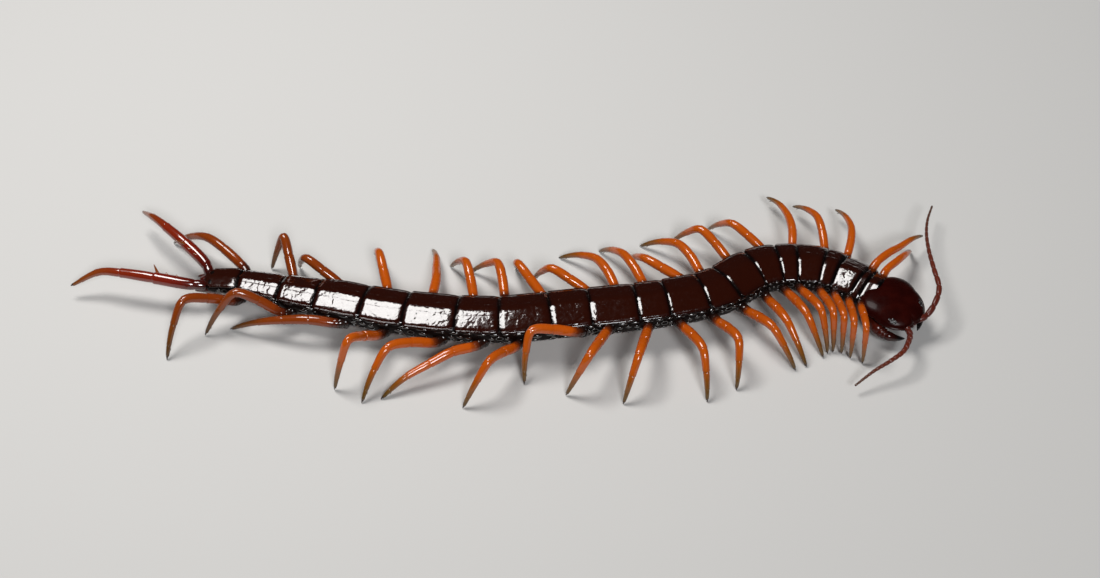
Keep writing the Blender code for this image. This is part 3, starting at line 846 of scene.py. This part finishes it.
leg_shell, rear_leg_shell = [
    shell(name, colours, by="reach", blotch=blotch, blotch_size=1.2, gloss=(0.20, 0.34), grain=0.008,
          swell=0.02, swell_size=0.9, coat=0.6, coat_bend=1.7, shine=0.08)
    for name, colours, blotch in (
        ("leg_shell", LEG_AND_BASE_SHADE_COLOURS, 0.05), ("rear_leg_shell", REAR_LEG_AND_BASE_SHADE_COLOURS, 0.06))
]
claw_horn = shell("claw_horn", CLAW_COLOURS, blotch=0.8, blotch_size=0.5, gloss=(0.15, 0.3), swell=0.01)
for side, word in ((1, "left"), (-1, "right")):
    for number in range(1, len(SEGMENTS)):
        at, back, collar = leg_course(side, number)
        fullness = between(LEG_FULLNESS, number)
        early = between(SHORTER_BASE_SHADE, number) if side > 0 else 0.0

        def tone(share):
            return (share - ROOT_SHARE + early * (1 - share)) / (1 - ROOT_SHARE)

        ring = (collar - 0.02, collar + 0.014)
        parts = [laid_along(collar_pattern, at, ring, back, fullness, (0.0, 0.02))]
        for name, (span, _) in ARTICLES.items():
            if name != "claw":
                across = Vector((0, 0, 1)) if name == "coxa" else back
                tones = [tone(share) for share in span]
                parts.append(laid_along(article_patterns[name], at, span, across, fullness, tones))
        for share, thick in LEG_JOINTS:
            size = thick * fullness
            parts.append(ball(at(share), (size, size, size), tone(share)))
        spur_start = at(SPUR_AT) - back * SPUR_THICKNESS * fullness
        spur_end = at(SPUR_AT + SPUR_SPAN) - back * SPUR_DROP * fullness
        parts.append(horn(spur_start, spur_end, back, SPUR_THICKNESS, 0.0, (0.93, 1.0)))
        leg = join(f"leg_{word}_{number:02d}_shell", parts)
        settle(leg, rear_leg_shell if number >= REAR_LEGS_FROM else leg_shell)

        first, last = ARTICLES["claw"][0]
        hooks = [horn(at(first), at(last), back, 1.0, 0.10)]
        for turn in (1, -1):
            beside = (at(last) - at(first)).cross(back).normalized() * HOOK_SPREAD * turn
            tip = at(first + 0.022) + beside * 1.3 - back * 0.1
            hooks.append(horn(at(first) + beside * 0.4, tip, back, HOOK_THICKNESS))
        claw = join(f"claw_{word}_{number:02d}", hooks)
        settle(claw, claw_horn)
        for piece in (leg, claw):
            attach(piece, "root")
            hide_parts(f"leg_{word}_{number:02d}")

# ---- The last legs ----
# The last pair is thicker and trails behind as a second pair of feelers and graspers. Its articles are
# deep red-brown, the first one armed with spines on its inner edge, the hindmost long and pale.
LAST_RIGHT = ((-70.5, -1.6, 6.8), (-75.0, -1.6, 7.4), (-83.0, -0.4, 8.2), (-91.0, 1.2, 8.2),
              (-96.5, 2.2, 7.2), (-103.3, 1.2, 3.6))
LAST_LEFT = ((-70.0, 2.0, 6.8), (-71.6, 5.2, 7.5), (-76.0, 9.6, 8.7), (-80.6, 14.0, 9.3),
             (-85.0, 18.6, 8.8), (-89.4, 24.0, 5.8))
# Each article's start and end as a share of the leg, and its half thickness over the pattern's.
LAST_ARTICLES = {
    "coxa": (0.0, 0.10, 0.95), "prefemur": (0.075, 0.36, 1.22), "femur": (0.35, 0.60, 1.12),
    "tibia": (0.59, 0.79, 1.05), "tarsus_1": (0.782, 0.91, 1.05), "tarsus_2": (0.904, 0.98, 1.0),
}
LAST_JOINTS = ((0.085, 1.12), (0.355, 1.15), (0.595, 0.95), (0.786, 0.70), (0.907, 0.48))
LAST_CLAW_START = 0.968
LAST_SPINES = ((0.335, 2.3), (0.27, 0.60), (0.20, 0.50))  # share of the leg, length
SPINE_FOOT = 1.28  # how far from the leg's axis a spine starts
SPINE_LEAN = Vector((0.55, 0.65, 0.60))  # along the leg, inwards and up
LAST_COLOURS = (
    (0.0, (0.026, 0.003, 0.002)), (0.25, (0.165, 0.011, 0.004)), (0.6, (0.205, 0.019, 0.004)),
    (0.85, (0.22, 0.046, 0.006)), (1.0, (0.15, 0.048, 0.008)),
)
last_leg_shell = shell("last_leg_shell", LAST_COLOURS, by="reach", blotch=0.10, blotch_size=1.4,
                       gloss=(0.18, 0.32), grain=0.010, swell=0.03, coat=1.0, coat_bend=1.7, shine=0.08)


def along_route(points, share):
    """Place at a share of the length of a route of many short runs."""
    lengths = [(b - a).length for a, b in zip(points, points[1:])]
    left = share * sum(lengths)
    for a, b, length in zip(points, points[1:], lengths):
        if left <= length:
            return a.lerp(b, left / length)
        left -= length
    return points[-1]


for side, word, course in ((1, "left", LAST_LEFT), (-1, "right", LAST_RIGHT)):
    route = through(course, 12)
    up = Vector((0, 0, 1))
    parts = []

    def last_course(share):
        return along_route(route, share)

    for name, (first, last, fullness) in LAST_ARTICLES.items():
        span = (first, last)
        parts.append(laid_along(article_patterns[name], last_course, span, up, fullness, span))
    for share, thick in LAST_JOINTS:
        parts.append(ball(along_route(route, share), (thick, thick, thick), share))
    for share, length in LAST_SPINES:
        heading = (along_route(route, share + 0.02) - along_route(route, share - 0.02)).normalized()
        inward = up.cross(heading) * side
        outer = along_route(route, share) + (up * 0.80 + inward * 0.60) * SPINE_FOOT
        lean = heading * SPINE_LEAN.x + inward * SPINE_LEAN.y + up * SPINE_LEAN.z
        tip = outer + lean.normalized() * length
        root = outer - lean * 0.3
        parts.append(horn(root, tip, up, 1.3, 0.0, (0.85, 0.95)))
    leg = join(f"last_leg_{word}_shell", parts)
    settle(leg, last_leg_shell)

    hook = horn(along_route(route, LAST_CLAW_START), route[-1], up, 1.25, 0.12)
    claw = join(f"claw_{word}_21", [hook])
    settle(claw, claw_horn)
    for piece in (leg, claw):
        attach(piece, "root")
        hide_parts(f"leg_{word}_21")

# ---- The side plates ----
# Small hard plates like polished black beads lie in rows in the soft flanks, above, between and below the
# legs. In nine segments a breathing hole with a raised oval ring takes the place of one of them.

# Each one's place from its leg towards the next as a share, height above the body's middle, length as a
# share of the same way, and width.
SIDE_PLATES = (
    (0.00, 1.30, 0.30, 0.75), (0.32, 1.35, 0.24, 0.60), (0.64, 1.30, 0.26, 0.70),
    (0.29, 0.20, 0.16, 1.05), (0.50, 0.40, 0.17, 0.95), (0.72, 0.15, 0.16, 1.10),
    (0.26, -1.15, 0.20, 0.85), (0.50, -1.30, 0.22, 0.90), (0.75, -1.15, 0.20, 0.85),
)
BREATHING_PLATE = 4
BREATHING_SEGMENTS = (3, 5, 8, 10, 12, 14, 16, 18, 20)
BREATHING_LENGTH = 0.72  # half the length of a breathing hole's ring
BREATHING_RISE = 0.9
SIDE_PLATE_LONGEST = 1.3
SIDE_PLATE_RISE = 0.24
SIDE_PLATE_SINK = 0.04
COXA_DRIFT = 1.5  # how far a leg's swing carries its coxa along the flank
LAST_ROOT = 0.75  # how far back in its segment the last leg is rooted
LEG_ROOM = 1.6  # kept clear of the lower rows round each leg
TAIL_BARE = 9.0  # how far from the tail the top row ends
WIDEST = max(HALF_WIDTHS.values())
BEAD_COLOURS = ((0.3, (0.0030, 0.0016, 0.0014)), (0.8, (0.0100, 0.0040, 0.0030)))
bead_shell = shell("bead_shell", BEAD_COLOURS, blotch=0.6, blotch_size=0.8, gloss=(0.06, 0.15),
                   swell=0.02, swell_size=0.6, coat=1.0)
bead_pattern = ball_cage("bead_pattern", 8, 5)
bpy.ops.mesh.primitive_torus_add(major_radius=1.0, minor_radius=0.28, major_segments=16, minor_segments=6)
ring_pattern = bpy.context.object


def on_flank(distance, rise, side):
    """The turn and place of a small plate on the straight body's flank."""
    number, part = segment_at(distance)
    at_number = number - 0.5 + part
    half = half_width(at_number)
    width = half * SKIN_SHARE
    depth = half * FLATNESS * (between(SKIN_TOP, at_number) if rise > 0 else SKIN_BELLY)
    level = min(abs(rise) * half / WIDEST / depth, 0.97)
    out = (1 - level ** SQUARENESS) ** (1 / SQUARENESS)
    up = math.copysign(level, rise)
    slope = Vector((0, side * out ** (SQUARENESS - 1) / width,
                    math.copysign(level ** (SQUARENESS - 1), rise) / depth)).normalized()
    place = Vector((BACK_LENGTH - distance, side * out * width, centre_height(at_number) + up * depth))
    along = Vector((1, 0, 0))
    turn = Matrix((along, slope.cross(along), slope)).transposed().to_4x4()
    return Matrix.Translation(place - slope * SIDE_PLATE_SINK) @ turn


for side, word, stances, roots in (
        (1, "left", LEFT_STANCE, LEFT_ROOTS), (-1, "right", RIGHT_STANCE, RIGHT_ROOTS)):
    coxae = []
    for number, (swing, _, _) in enumerate(stances, 1):
        drift = COXA_DRIFT * math.sin(math.radians(swing * COXA_SHARE))
        coxae.append(STARTS[number - 1] + between(roots, number) * SEGMENTS[number - 1] + drift)
    coxae.append(STARTS[-2] + LAST_ROOT * SEGMENTS[-1])
    beads = []
    for number, (here, there) in enumerate(zip(coxae, coxae[1:]), 1):
        way = there - here
        for k, (share, rise, length, width) in enumerate(SIDE_PLATES):
            if rise < 1 and min(share, 1 - share) * way < LEG_ROOM:
                continue
            if rise > 1 and here + share * way > BACK_LENGTH - TAIL_BARE:
                continue
            stand = on_flank(here + share * way, rise, side)
            breathes = k == BREATHING_PLATE and number in BREATHING_SEGMENTS
            bead = copy_of(ring_pattern if breathes else bead_pattern, "bead")
            half_length = BREATHING_LENGTH if breathes else min(length * way / 2, SIDE_PLATE_LONGEST)
            rise_out = BREATHING_RISE if breathes else SIDE_PLATE_RISE
            bead.data.transform(stand @ Matrix.Diagonal((half_length, width / 2, rise_out, 1.0)))
            beads.append(bead)
    side_plates = join(f"side_plates_{word}", beads)
    bend(side_plates, back_guide)
    settle(side_plates, bead_shell, sharp=60.0)
    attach(side_plates, "root")
    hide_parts(*TRUNKS)
bpy.data.objects.remove(bead_pattern)
bpy.data.objects.remove(ring_pattern)

# ---- The tail end ----
# Under the last plate the body ends in a rounded vent plug between two short, spine-tipped cones that
# point back beneath the last legs, all of dark red shell.
VENT_PLACE = Vector((-70.6, 0.2, 6.4))
VENT_SIZE = (2.0, 1.5, 1.3)
# Each cone's root and tip.
TAIL_CONES = (
    ((-67.0, 2.1, 6.0), (-73.2, 2.6, 5.5)), ((-67.0, -1.7, 6.0), (-73.2, -2.0, 5.5)),
)
CONE_THICKNESS = 4.2
up = Vector((0, 0, 1))
tail_parts = [ball(VENT_PLACE, VENT_SIZE, 0.05)]
for cone_root, cone_tip in TAIL_CONES:
    cone = horn(Vector(cone_root), Vector(cone_tip), up, CONE_THICKNESS, 0.05, (0.15, 0.0))
    tail_parts.append(cone)
tail_end = join("tail_end", tail_parts)
settle(tail_end, last_leg_shell, sharp=60.0)
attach(tail_end, "root")
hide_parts("trunk_7")

# ---- The head ----
# One smooth, domed shield of dark maroon shell, rounded in front and straight behind, where the first
# back plate laps over it. It has a thin raised rim and a small notch between the feelers.
HEAD_LENGTH = 13.2
HEAD_WIDTH = 13.4
HEAD_HEIGHT = 5.2
HEAD_HEADING = math.radians(-52.0)
HEAD_PITCH = math.radians(9.0)
HEAD_CENTRE_HEIGHT = 7.4
HEAD_OVERLAP = 1.2
HEAD_WALL = 0.3
HEAD_UNEVENNESS = 0.05
RIM_FLARE = 0.14
RIM_LIFT = 0.05
RIM_CREASE = 0.10  # depth of the crease above the rim
NOTCH_DEPTH = 0.45
# Soft hollows in the shield: depth, place to the left and reach across, place forward and reach along.
HEAD_HOLLOWS = (
    (0.16, 0.0, 0.35, 5.2, 1.6), (0.07, 2.0, 0.9, 2.6, 1.8), (0.05, 3.2, 1.1, -2.0, 1.6),
    (0.07, -2.0, 0.9, 2.6, 1.8), (0.05, -3.2, 1.1, -2.0, 1.6),
)
HEAD_COLOURS = (
    (0.25, (0.01, 0.001, 0.0008)), (0.5, (0.017, 0.0015, 0.001)), (0.85, (0.034, 0.0034, 0.0018)),
)
neck, _ = on_spine(0.0)
head_ahead = HEAD_LENGTH / 2 - HEAD_OVERLAP
head_frame = (
    Matrix.Translation((
        neck.x + math.cos(HEAD_HEADING) * head_ahead, neck.y + math.sin(HEAD_HEADING) * head_ahead,
        HEAD_CENTRE_HEIGHT,
    ))
    @ Matrix.Rotation(HEAD_HEADING, 4, "Z") @ Matrix.Rotation(HEAD_PITCH, 4, "Y")
)


def head_outline(x, y, z):
    """A point of a round ball as a point of the head: forward, to its left and up from its middle."""
    squarer = 1.0 + (0.04 if x > 0 else 0.10) * (1 - abs(z)) * abs(x * y) * 4
    taper = 1.0 - 0.10 * max(x, 0.0)
    return Vector((
        x * squarer * HEAD_LENGTH / 2, y * squarer * taper * HEAD_WIDTH / 2,
        math.copysign(abs(z) ** 0.85, z) * HEAD_HEIGHT / 2,
    ))


head_shield = ball_cage("head_shield", 112, 72)
bpy.ops.object.mode_set(mode="EDIT")
bpy.ops.mesh.select_all(action="SELECT")
bpy.ops.mesh.bisect(plane_co=(0, 0, -0.055), plane_no=(0, 0, 1), clear_inner=True)
bpy.ops.object.mode_set(mode="OBJECT")
for vertex in head_shield.data.vertices:
    x, y, z = vertex.co
    place = head_outline(x, y, z)
    rim = hump(z, 0.02, 0.055)
    place.x += x * RIM_FLARE * rim
    place.y += y * RIM_FLARE * rim
    place.z += RIM_LIFT * rim - RIM_CREASE * hump(z, 0.16, 0.06)
    place.x -= NOTCH_DEPTH * hump(place.y, 0.0, 0.55) * hump(place.x, 6.3, 0.9)
    for depth, y, y_reach, x, x_reach in HEAD_HOLLOWS:
        place.z -= depth * hump(place.y, y, y_reach) * hump(place.x, x, x_reach)
    place.z += HEAD_UNEVENNESS * noise.noise(place * 0.45)
    vertex.co = place
thicken(head_shield, HEAD_WALL)
apply_modifiers(head_shield)
head_shield.data.transform(head_frame)
head_shield = join("head_shield", [head_shield])
head_shell = shell("head_shell", HEAD_COLOURS, blotch=0.7, blotch_size=3.0, gloss=(0.22, 0.36),
                   grain=0.014, swell=0.02, swell_size=2.4, coat=0.05, shine=0.04)
settle(head_shield, head_shell)
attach(head_shield, "root")
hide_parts("head")

# ---- The underside of the head ----
# Below the shield's rim the head is softer and redder: a rounded cheek all round, the lip plate in
# front, and the two small feeding palps folded under it.
CHEEK_COLOURS = (
    (0.3, (0.018, 0.0026, 0.0016)), (0.55, (0.032, 0.0045, 0.0024)), (0.85, (0.06, 0.012, 0.005)),
)
CHEEK_LENGTH = 0.94  # over the shield's
CHEEK_WIDTH = 0.92
CHEEK_DEPTH = 0.8
CHEEK_TOP = 0.75  # the same for the part inside the shield
LIP_BULGE = 0.25
WRINKLES = 0.12
PALP_ROUTE = ((0.4, 1.4, -2.3), (3.2, 1.9, -2.55), (5.0, 1.35, -2.4), (6.0, 0.55, -1.9))
PALP_JOINTS = (("femur", 0.62), ("tibia", 0.72), ("tarsus_2", 0.9))  # outline and thickness
cheeks = ball_cage("head_cheeks", 72, 40)
bpy.ops.object.mode_set(mode="EDIT")
bpy.ops.mesh.select_all(action="SELECT")
bpy.ops.mesh.bisect(plane_co=(0, 0, 0.35), plane_no=(0, 0, 1), clear_outer=True, use_fill=True)
bpy.ops.object.mode_set(mode="OBJECT")
for vertex in cheeks.data.vertices:
    place = head_outline(*vertex.co)
    place.x *= CHEEK_LENGTH
    place.y *= CHEEK_WIDTH
    place.z *= CHEEK_DEPTH if place.z < 0 else CHEEK_TOP
    if place.x > 0:
        place.x += LIP_BULGE * hump(place.z, -0.9, 0.6) * hump(place.y, 0.0, 1.6)
    place.z -= WRINKLES * abs(noise.noise(place * 0.8))
    vertex.co = place
cheeks.data.transform(head_frame)
cheeks = join("head_cheeks", [cheeks])
mark(cheeks, "reach", [0.5] * len(cheeks.data.vertices))
palps = []
down = head_frame.to_3x3() @ Vector((0, 0, -1))
for side in (1, -1):
    points = [head_frame @ Vector((x, y * side, z)) for x, y, z in PALP_ROUTE]
    for (name, thick), start, end in zip(PALP_JOINTS, points, points[1:]):
        palps.append(laid(article_patterns[name], start, end, down, thick, 0.1, (0.5, 0.5)))
head_base = join("head_underside", [cheeks] + palps)
cheek_shell = shell("cheek_shell", CHEEK_COLOURS, blotch=0.7, blotch_size=1.8, gloss=(0.2, 0.36),
                    grain=0.014, swell=0.06, swell_size=1.0, coat=0.25)
settle(head_base, cheek_shell, sharp=60.0)
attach(head_base, "root")
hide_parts("head")

# ---- The eyes ----
# Four small simple eyes in a cluster on each side of the head, just above the rim behind the feelers:
# polished black lenses like beads, each set in a thin dark ring.
EYE_PLACES = ((4.05, 4.35), (3.50, 4.90), (3.35, 4.35), (2.80, 4.95))
EYE_RADII = (0.32, 0.36, 0.30, 0.28)
EYE_SINK = 0.10
EYE_FLATNESS = 0.8
EYE_RING = 0.07  # half thickness of the ring round a lens
EYE_COLOURS = ((0.3, (0.004, 0.004, 0.005)), (0.8, (0.010, 0.009, 0.010)))
eye_glass = shell("eye_glass", EYE_COLOURS, blotch=0.5, blotch_size=0.5, gloss=(0.05, 0.10), grain=0.0,
                  swell=0.0, coat=0.6)


def head_surface(x, y):
    """Height of the shield above the head's middle, over a point forward and to the left."""
    low, high = 0.0, 1.0
    for _ in range(30):
        z = (low + high) / 2
        flat = math.sqrt(max(1 - z * z, 0.0))
        bearing = math.atan2(y / HEAD_WIDTH, x / HEAD_LENGTH)
        edge = head_outline(flat * math.cos(bearing), flat * math.sin(bearing), z)
        if edge.xy.length > math.hypot(x, y):
            low = z
        else:
            high = z
    return low ** 0.85 * HEAD_HEIGHT / 2


for side, word in ((1, "left"), (-1, "right")):
    lenses = []
    for (x, y), radius in zip(EYE_PLACES, EYE_RADII):
        height = head_surface(x, y)
        normal = Vector((x / 9.0, y / 8.0, height / 1.6)).normalized()
        centre = Vector((x, y, height)) - normal * EYE_SINK
        centre.y *= side
        normal.y *= side
        turn = normal.to_track_quat("Z", "Y").to_matrix().to_4x4()
        bpy.ops.object.select_all(action="DESELECT")
        bpy.ops.mesh.primitive_uv_sphere_add(segments=24, ring_count=14, radius=radius)
        lens = bpy.context.object
        flatten = Matrix.Diagonal((1, 1, EYE_FLATNESS, 1))
        lens.data.transform(head_frame @ Matrix.Translation(centre) @ turn @ flatten)
        bpy.ops.mesh.primitive_torus_add(
            major_radius=radius * 1.04, minor_radius=EYE_RING, major_segments=28, minor_segments=8)
        ring = bpy.context.object
        ring.data.transform(head_frame @ Matrix.Translation(centre + normal * 0.06) @ turn)
        lenses += [lens, ring]
    eyes = join(f"eyes_{word}", lenses)
    settle(eyes, eye_glass, sharp=60.0)
    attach(eyes, "root")
    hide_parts(f"eye_{word}")

# ---- The antennae ----
# Two long tapering feelers of eighteen bead-like joints, red-brown. The first joints are bare and
# glossy, the rest carry a fine down and grow greyer towards the tips.
ANTENNA_LEFT = ((93.9, -12.2, 6.1), (96.6, -11.2, 6.7), (98.7, -8.8, 8.0), (100.3, -4.6, 9.1),
                (99.9, 1.4, 9.3), (99.8, 8.0, 8.5), (100.3, 14.6, 7.4), (101.5, 20.4, 6.5),
                (103.6, 26.3, 5.4))
ANTENNA_RIGHT = ((91.7, -13.7, 6.1), (92.3, -16.6, 6.5), (91.4, -19.6, 6.8), (89.9, -22.1, 6.6),
                 (86.8, -24.2, 5.8), (83.1, -26.1, 4.6), (78.8, -28.8, 2.8))
ANTENNA_JOINTS = 18
ANTENNA_BASE = 0.82
ANTENNA_TIP = 0.25
JOINT_SHORTENING = 0.45  # how much shorter the last joint is than the first
JOINT_LAP = 0.05
DOWN_SHEEN = 0.06
JOINT_OUTLINE = (
    (0, 0), (0.62, 0), (0.80, 0.05), (0.93, 0.16), (1.0, 0.40), (1.02, 0.68), (0.98, 0.86),
    (0.84, 0.96), (0.60, 1.0), (0, 1.0),
)
ANTENNA_COLOURS = (
    (0.0, (0.07, 0.008, 0.004)), (0.3, (0.12, 0.0165, 0.006)), (0.65, (0.098, 0.02, 0.009)),
    (1.0, (0.085, 0.04, 0.024)),
)
joint_pattern = turned("joint_pattern", JOINT_OUTLINE, 16)
antenna_shell = shell("antenna_shell", ANTENNA_COLOURS, by="reach", blotch=0.2, blotch_size=0.8,
                      gloss=(0.24, 0.42), grain=0.02, swell=0.02, swell_size=0.5, coat=0.25, shine=0.15)
antenna_shell.node_tree.nodes["Principled BSDF"].inputs["Sheen Weight"].default_value = DOWN_SHEEN
for word, course in (("left", ANTENNA_LEFT), ("right", ANTENNA_RIGHT)):
    points = through(course, 12)
    total = sum((b - a).length for a, b in zip(points, points[1:]))
    antenna_guide = guide_line("antenna_guide", points)
    lengths = [1.0 - JOINT_SHORTENING * k / (ANTENNA_JOINTS - 1) for k in range(ANTENNA_JOINTS)]
    scale = total / sum(lengths)
    x = 0.0
    joints = [laid(collar_pattern, Vector((-0.4, 0, 0)), Vector((0.25, 0, 0)), up, 0.62, 0.0, (0, 0))]
    for k, length in enumerate(lengths):
        share = (k + 0.5) / ANTENNA_JOINTS
        thick = ANTENNA_BASE + (ANTENNA_TIP - ANTENNA_BASE) * share ** 0.8
        start = Vector((x - JOINT_LAP, 0, 0))
        end = Vector((x + length * scale + JOINT_LAP, 0, 0))
        joints.append(laid(joint_pattern, start, end, up, thick, 0.0, (share - 0.02, share + 0.02)))
        x += length * scale
    antenna = join(f"antenna_{word}_joints", joints)
    bend(antenna, antenna_guide)
    bpy.data.objects.remove(antenna_guide)
    settle(antenna, antenna_shell, sharp=60.0)
    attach(antenna, "root")
    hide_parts(f"antenna_{word}")

# ---- The fangs ----
# The venom claws, the first pair of legs turned into pincers under the head: a swollen base, two short
# rings and a long curved fang that ends in a black point, all of thick polished shell.
FANG_ROUTE = (
    (-3.4, 3.4, -2.5), (-0.8, 5.4, -2.6), (2.4, 5.9, -2.9), (5.2, 4.4, -3.3), (6.9, 1.9, -3.7),
)
# Each part's start and end as a share of the route, and its outline.
FANG_PARTS = (
    (0.0, 0.50, (
        (0, 0), (1.3, 0), (1.62, 0.15), (1.75, 0.45), (1.66, 0.8), (1.5, 0.96), (1.2, 1.0), (0, 0.97),
    )),
    (0.49, 0.56, ((0, 0), (1.2, 0), (1.42, 0.3), (1.40, 0.75), (1.2, 1.0), (0, 0.96))),
    (0.55, 0.62, ((0, 0), (1.1, 0), (1.30, 0.3), (1.26, 0.75), (1.0, 1.0), (0, 0.96))),
    (0.61, 1.0, (
        (0, 0), (0.95, 0), (1.16, 0.08), (1.1, 0.25), (0.85, 0.5), (0.55, 0.75), (0.28, 0.9), (0, 1.0),
    )),
)
# The fangs' colours by share of the route: dark red-brown shell with a black point, made darker all over as
# painted shade for the shade under the head. The fang plate shares them.
FANG_AND_SHADE_COLOURS = (
    (0.0, (0.022, 0.0028, 0.0016)), (0.45, (0.055, 0.0055, 0.0024)), (0.75, (0.022, 0.0028, 0.0018)),
    (0.88, (0.004, 0.0025, 0.0025)),
)
fang_shell = shell("fang_shell", FANG_AND_SHADE_COLOURS, by="reach", blotch=0.12, blotch_size=1.5, gloss=(0.16, 0.30),
                   coat=0.5, shine=0.12)
for side, word in ((1, "left"), (-1, "right")):
    route = through([head_frame @ Vector((x, y * side, z)) for x, y, z in FANG_ROUTE], 12)
    outward = head_frame.to_3x3() @ Vector((0.3, side, 0))
    parts = []
    for first, last, outline in FANG_PARTS:
        start, end = along_route(route, first), along_route(route, last)
        lift = (along_route(route, (first + last) / 2) - (start + end) / 2).length
        pattern = turned("fang_pattern", outline, 24)
        parts.append(laid(pattern, start, end, outward, 1.0, lift, (first, last)))
        bpy.data.objects.remove(pattern)
    fang = join(f"fang_{word}", parts)
    settle(fang, fang_shell, sharp=60.0)
    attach(fang, "root")
    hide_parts(f"forcipule_{word}")

# ---- The fang plate ----
# Between the bases of the fangs lies one broad plate of thick red-brown shell, with two small tooth
# plates on its front edge, each with four blunt dark teeth.
FANG_PLATE_PLACE = Vector((-2.3, 0.0, -2.35))
FANG_PLATE_SIZE = Vector((3.5, 4.2, 1.25))
FANG_PLATE_NOTCH = 0.5
FANG_PLATE_GROOVE = 0.10  # along its middle, below
TOOTH_PLATE_PLACE = (1.0, 1.0, -2.75)
TOOTH_PLATE_SIZE = (0.75, 0.95, 0.42)
TOOTH_PLACES = (0.35, 0.80, 1.25, 1.65)
fang_plate = ball_cage("fang_plate", 48, 28)
for vertex in fang_plate.data.vertices:
    x, y, z = vertex.co
    squarer = 1.0 + 0.5 * abs(x * y)
    notch = FANG_PLATE_NOTCH * hump(y, 0.0, 0.12) * max(x, 0.0)
    groove = FANG_PLATE_GROOVE * hump(y, 0.0, 0.07) if z < 0 else 0.0
    vertex.co = Vector((
        FANG_PLATE_PLACE.x + x * squarer * FANG_PLATE_SIZE.x - notch,
        FANG_PLATE_PLACE.y + y * squarer * FANG_PLATE_SIZE.y,
        FANG_PLATE_PLACE.z + z * FANG_PLATE_SIZE.z + groove,
    ))
fang_plate.data.transform(head_frame)
mark(fang_plate, "reach", [0.25] * len(fang_plate.data.vertices))
plate_parts = [fang_plate]
head_turn = Matrix.Rotation(HEAD_HEADING, 4, "Z")
for side in (1, -1):
    x, y, z = TOOTH_PLATE_PLACE
    plate_parts.append(ball(head_frame @ Vector((x, y * side, z)), TOOTH_PLATE_SIZE, 0.40, head_turn))
    for out in TOOTH_PLACES:
        start = head_frame @ Vector((1.1, side * out, -2.85))
        end = head_frame @ Vector((2.25 - 0.25 * out, side * out * 1.05, -2.95))
        plate_parts.append(horn(start, end, down, 1.1, 0.0, (0.6, 0.9)))
fang_plate = join("fang_plate", plate_parts)
settle(fang_plate, fang_shell, sharp=60.0)
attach(fang_plate, "root")
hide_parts("head")

# The patterns and the bending guide are removed at the end.
for pattern in (*article_patterns.values(), collar_pattern, ball_pattern, joint_pattern, back_guide):
    bpy.data.objects.remove(pattern)
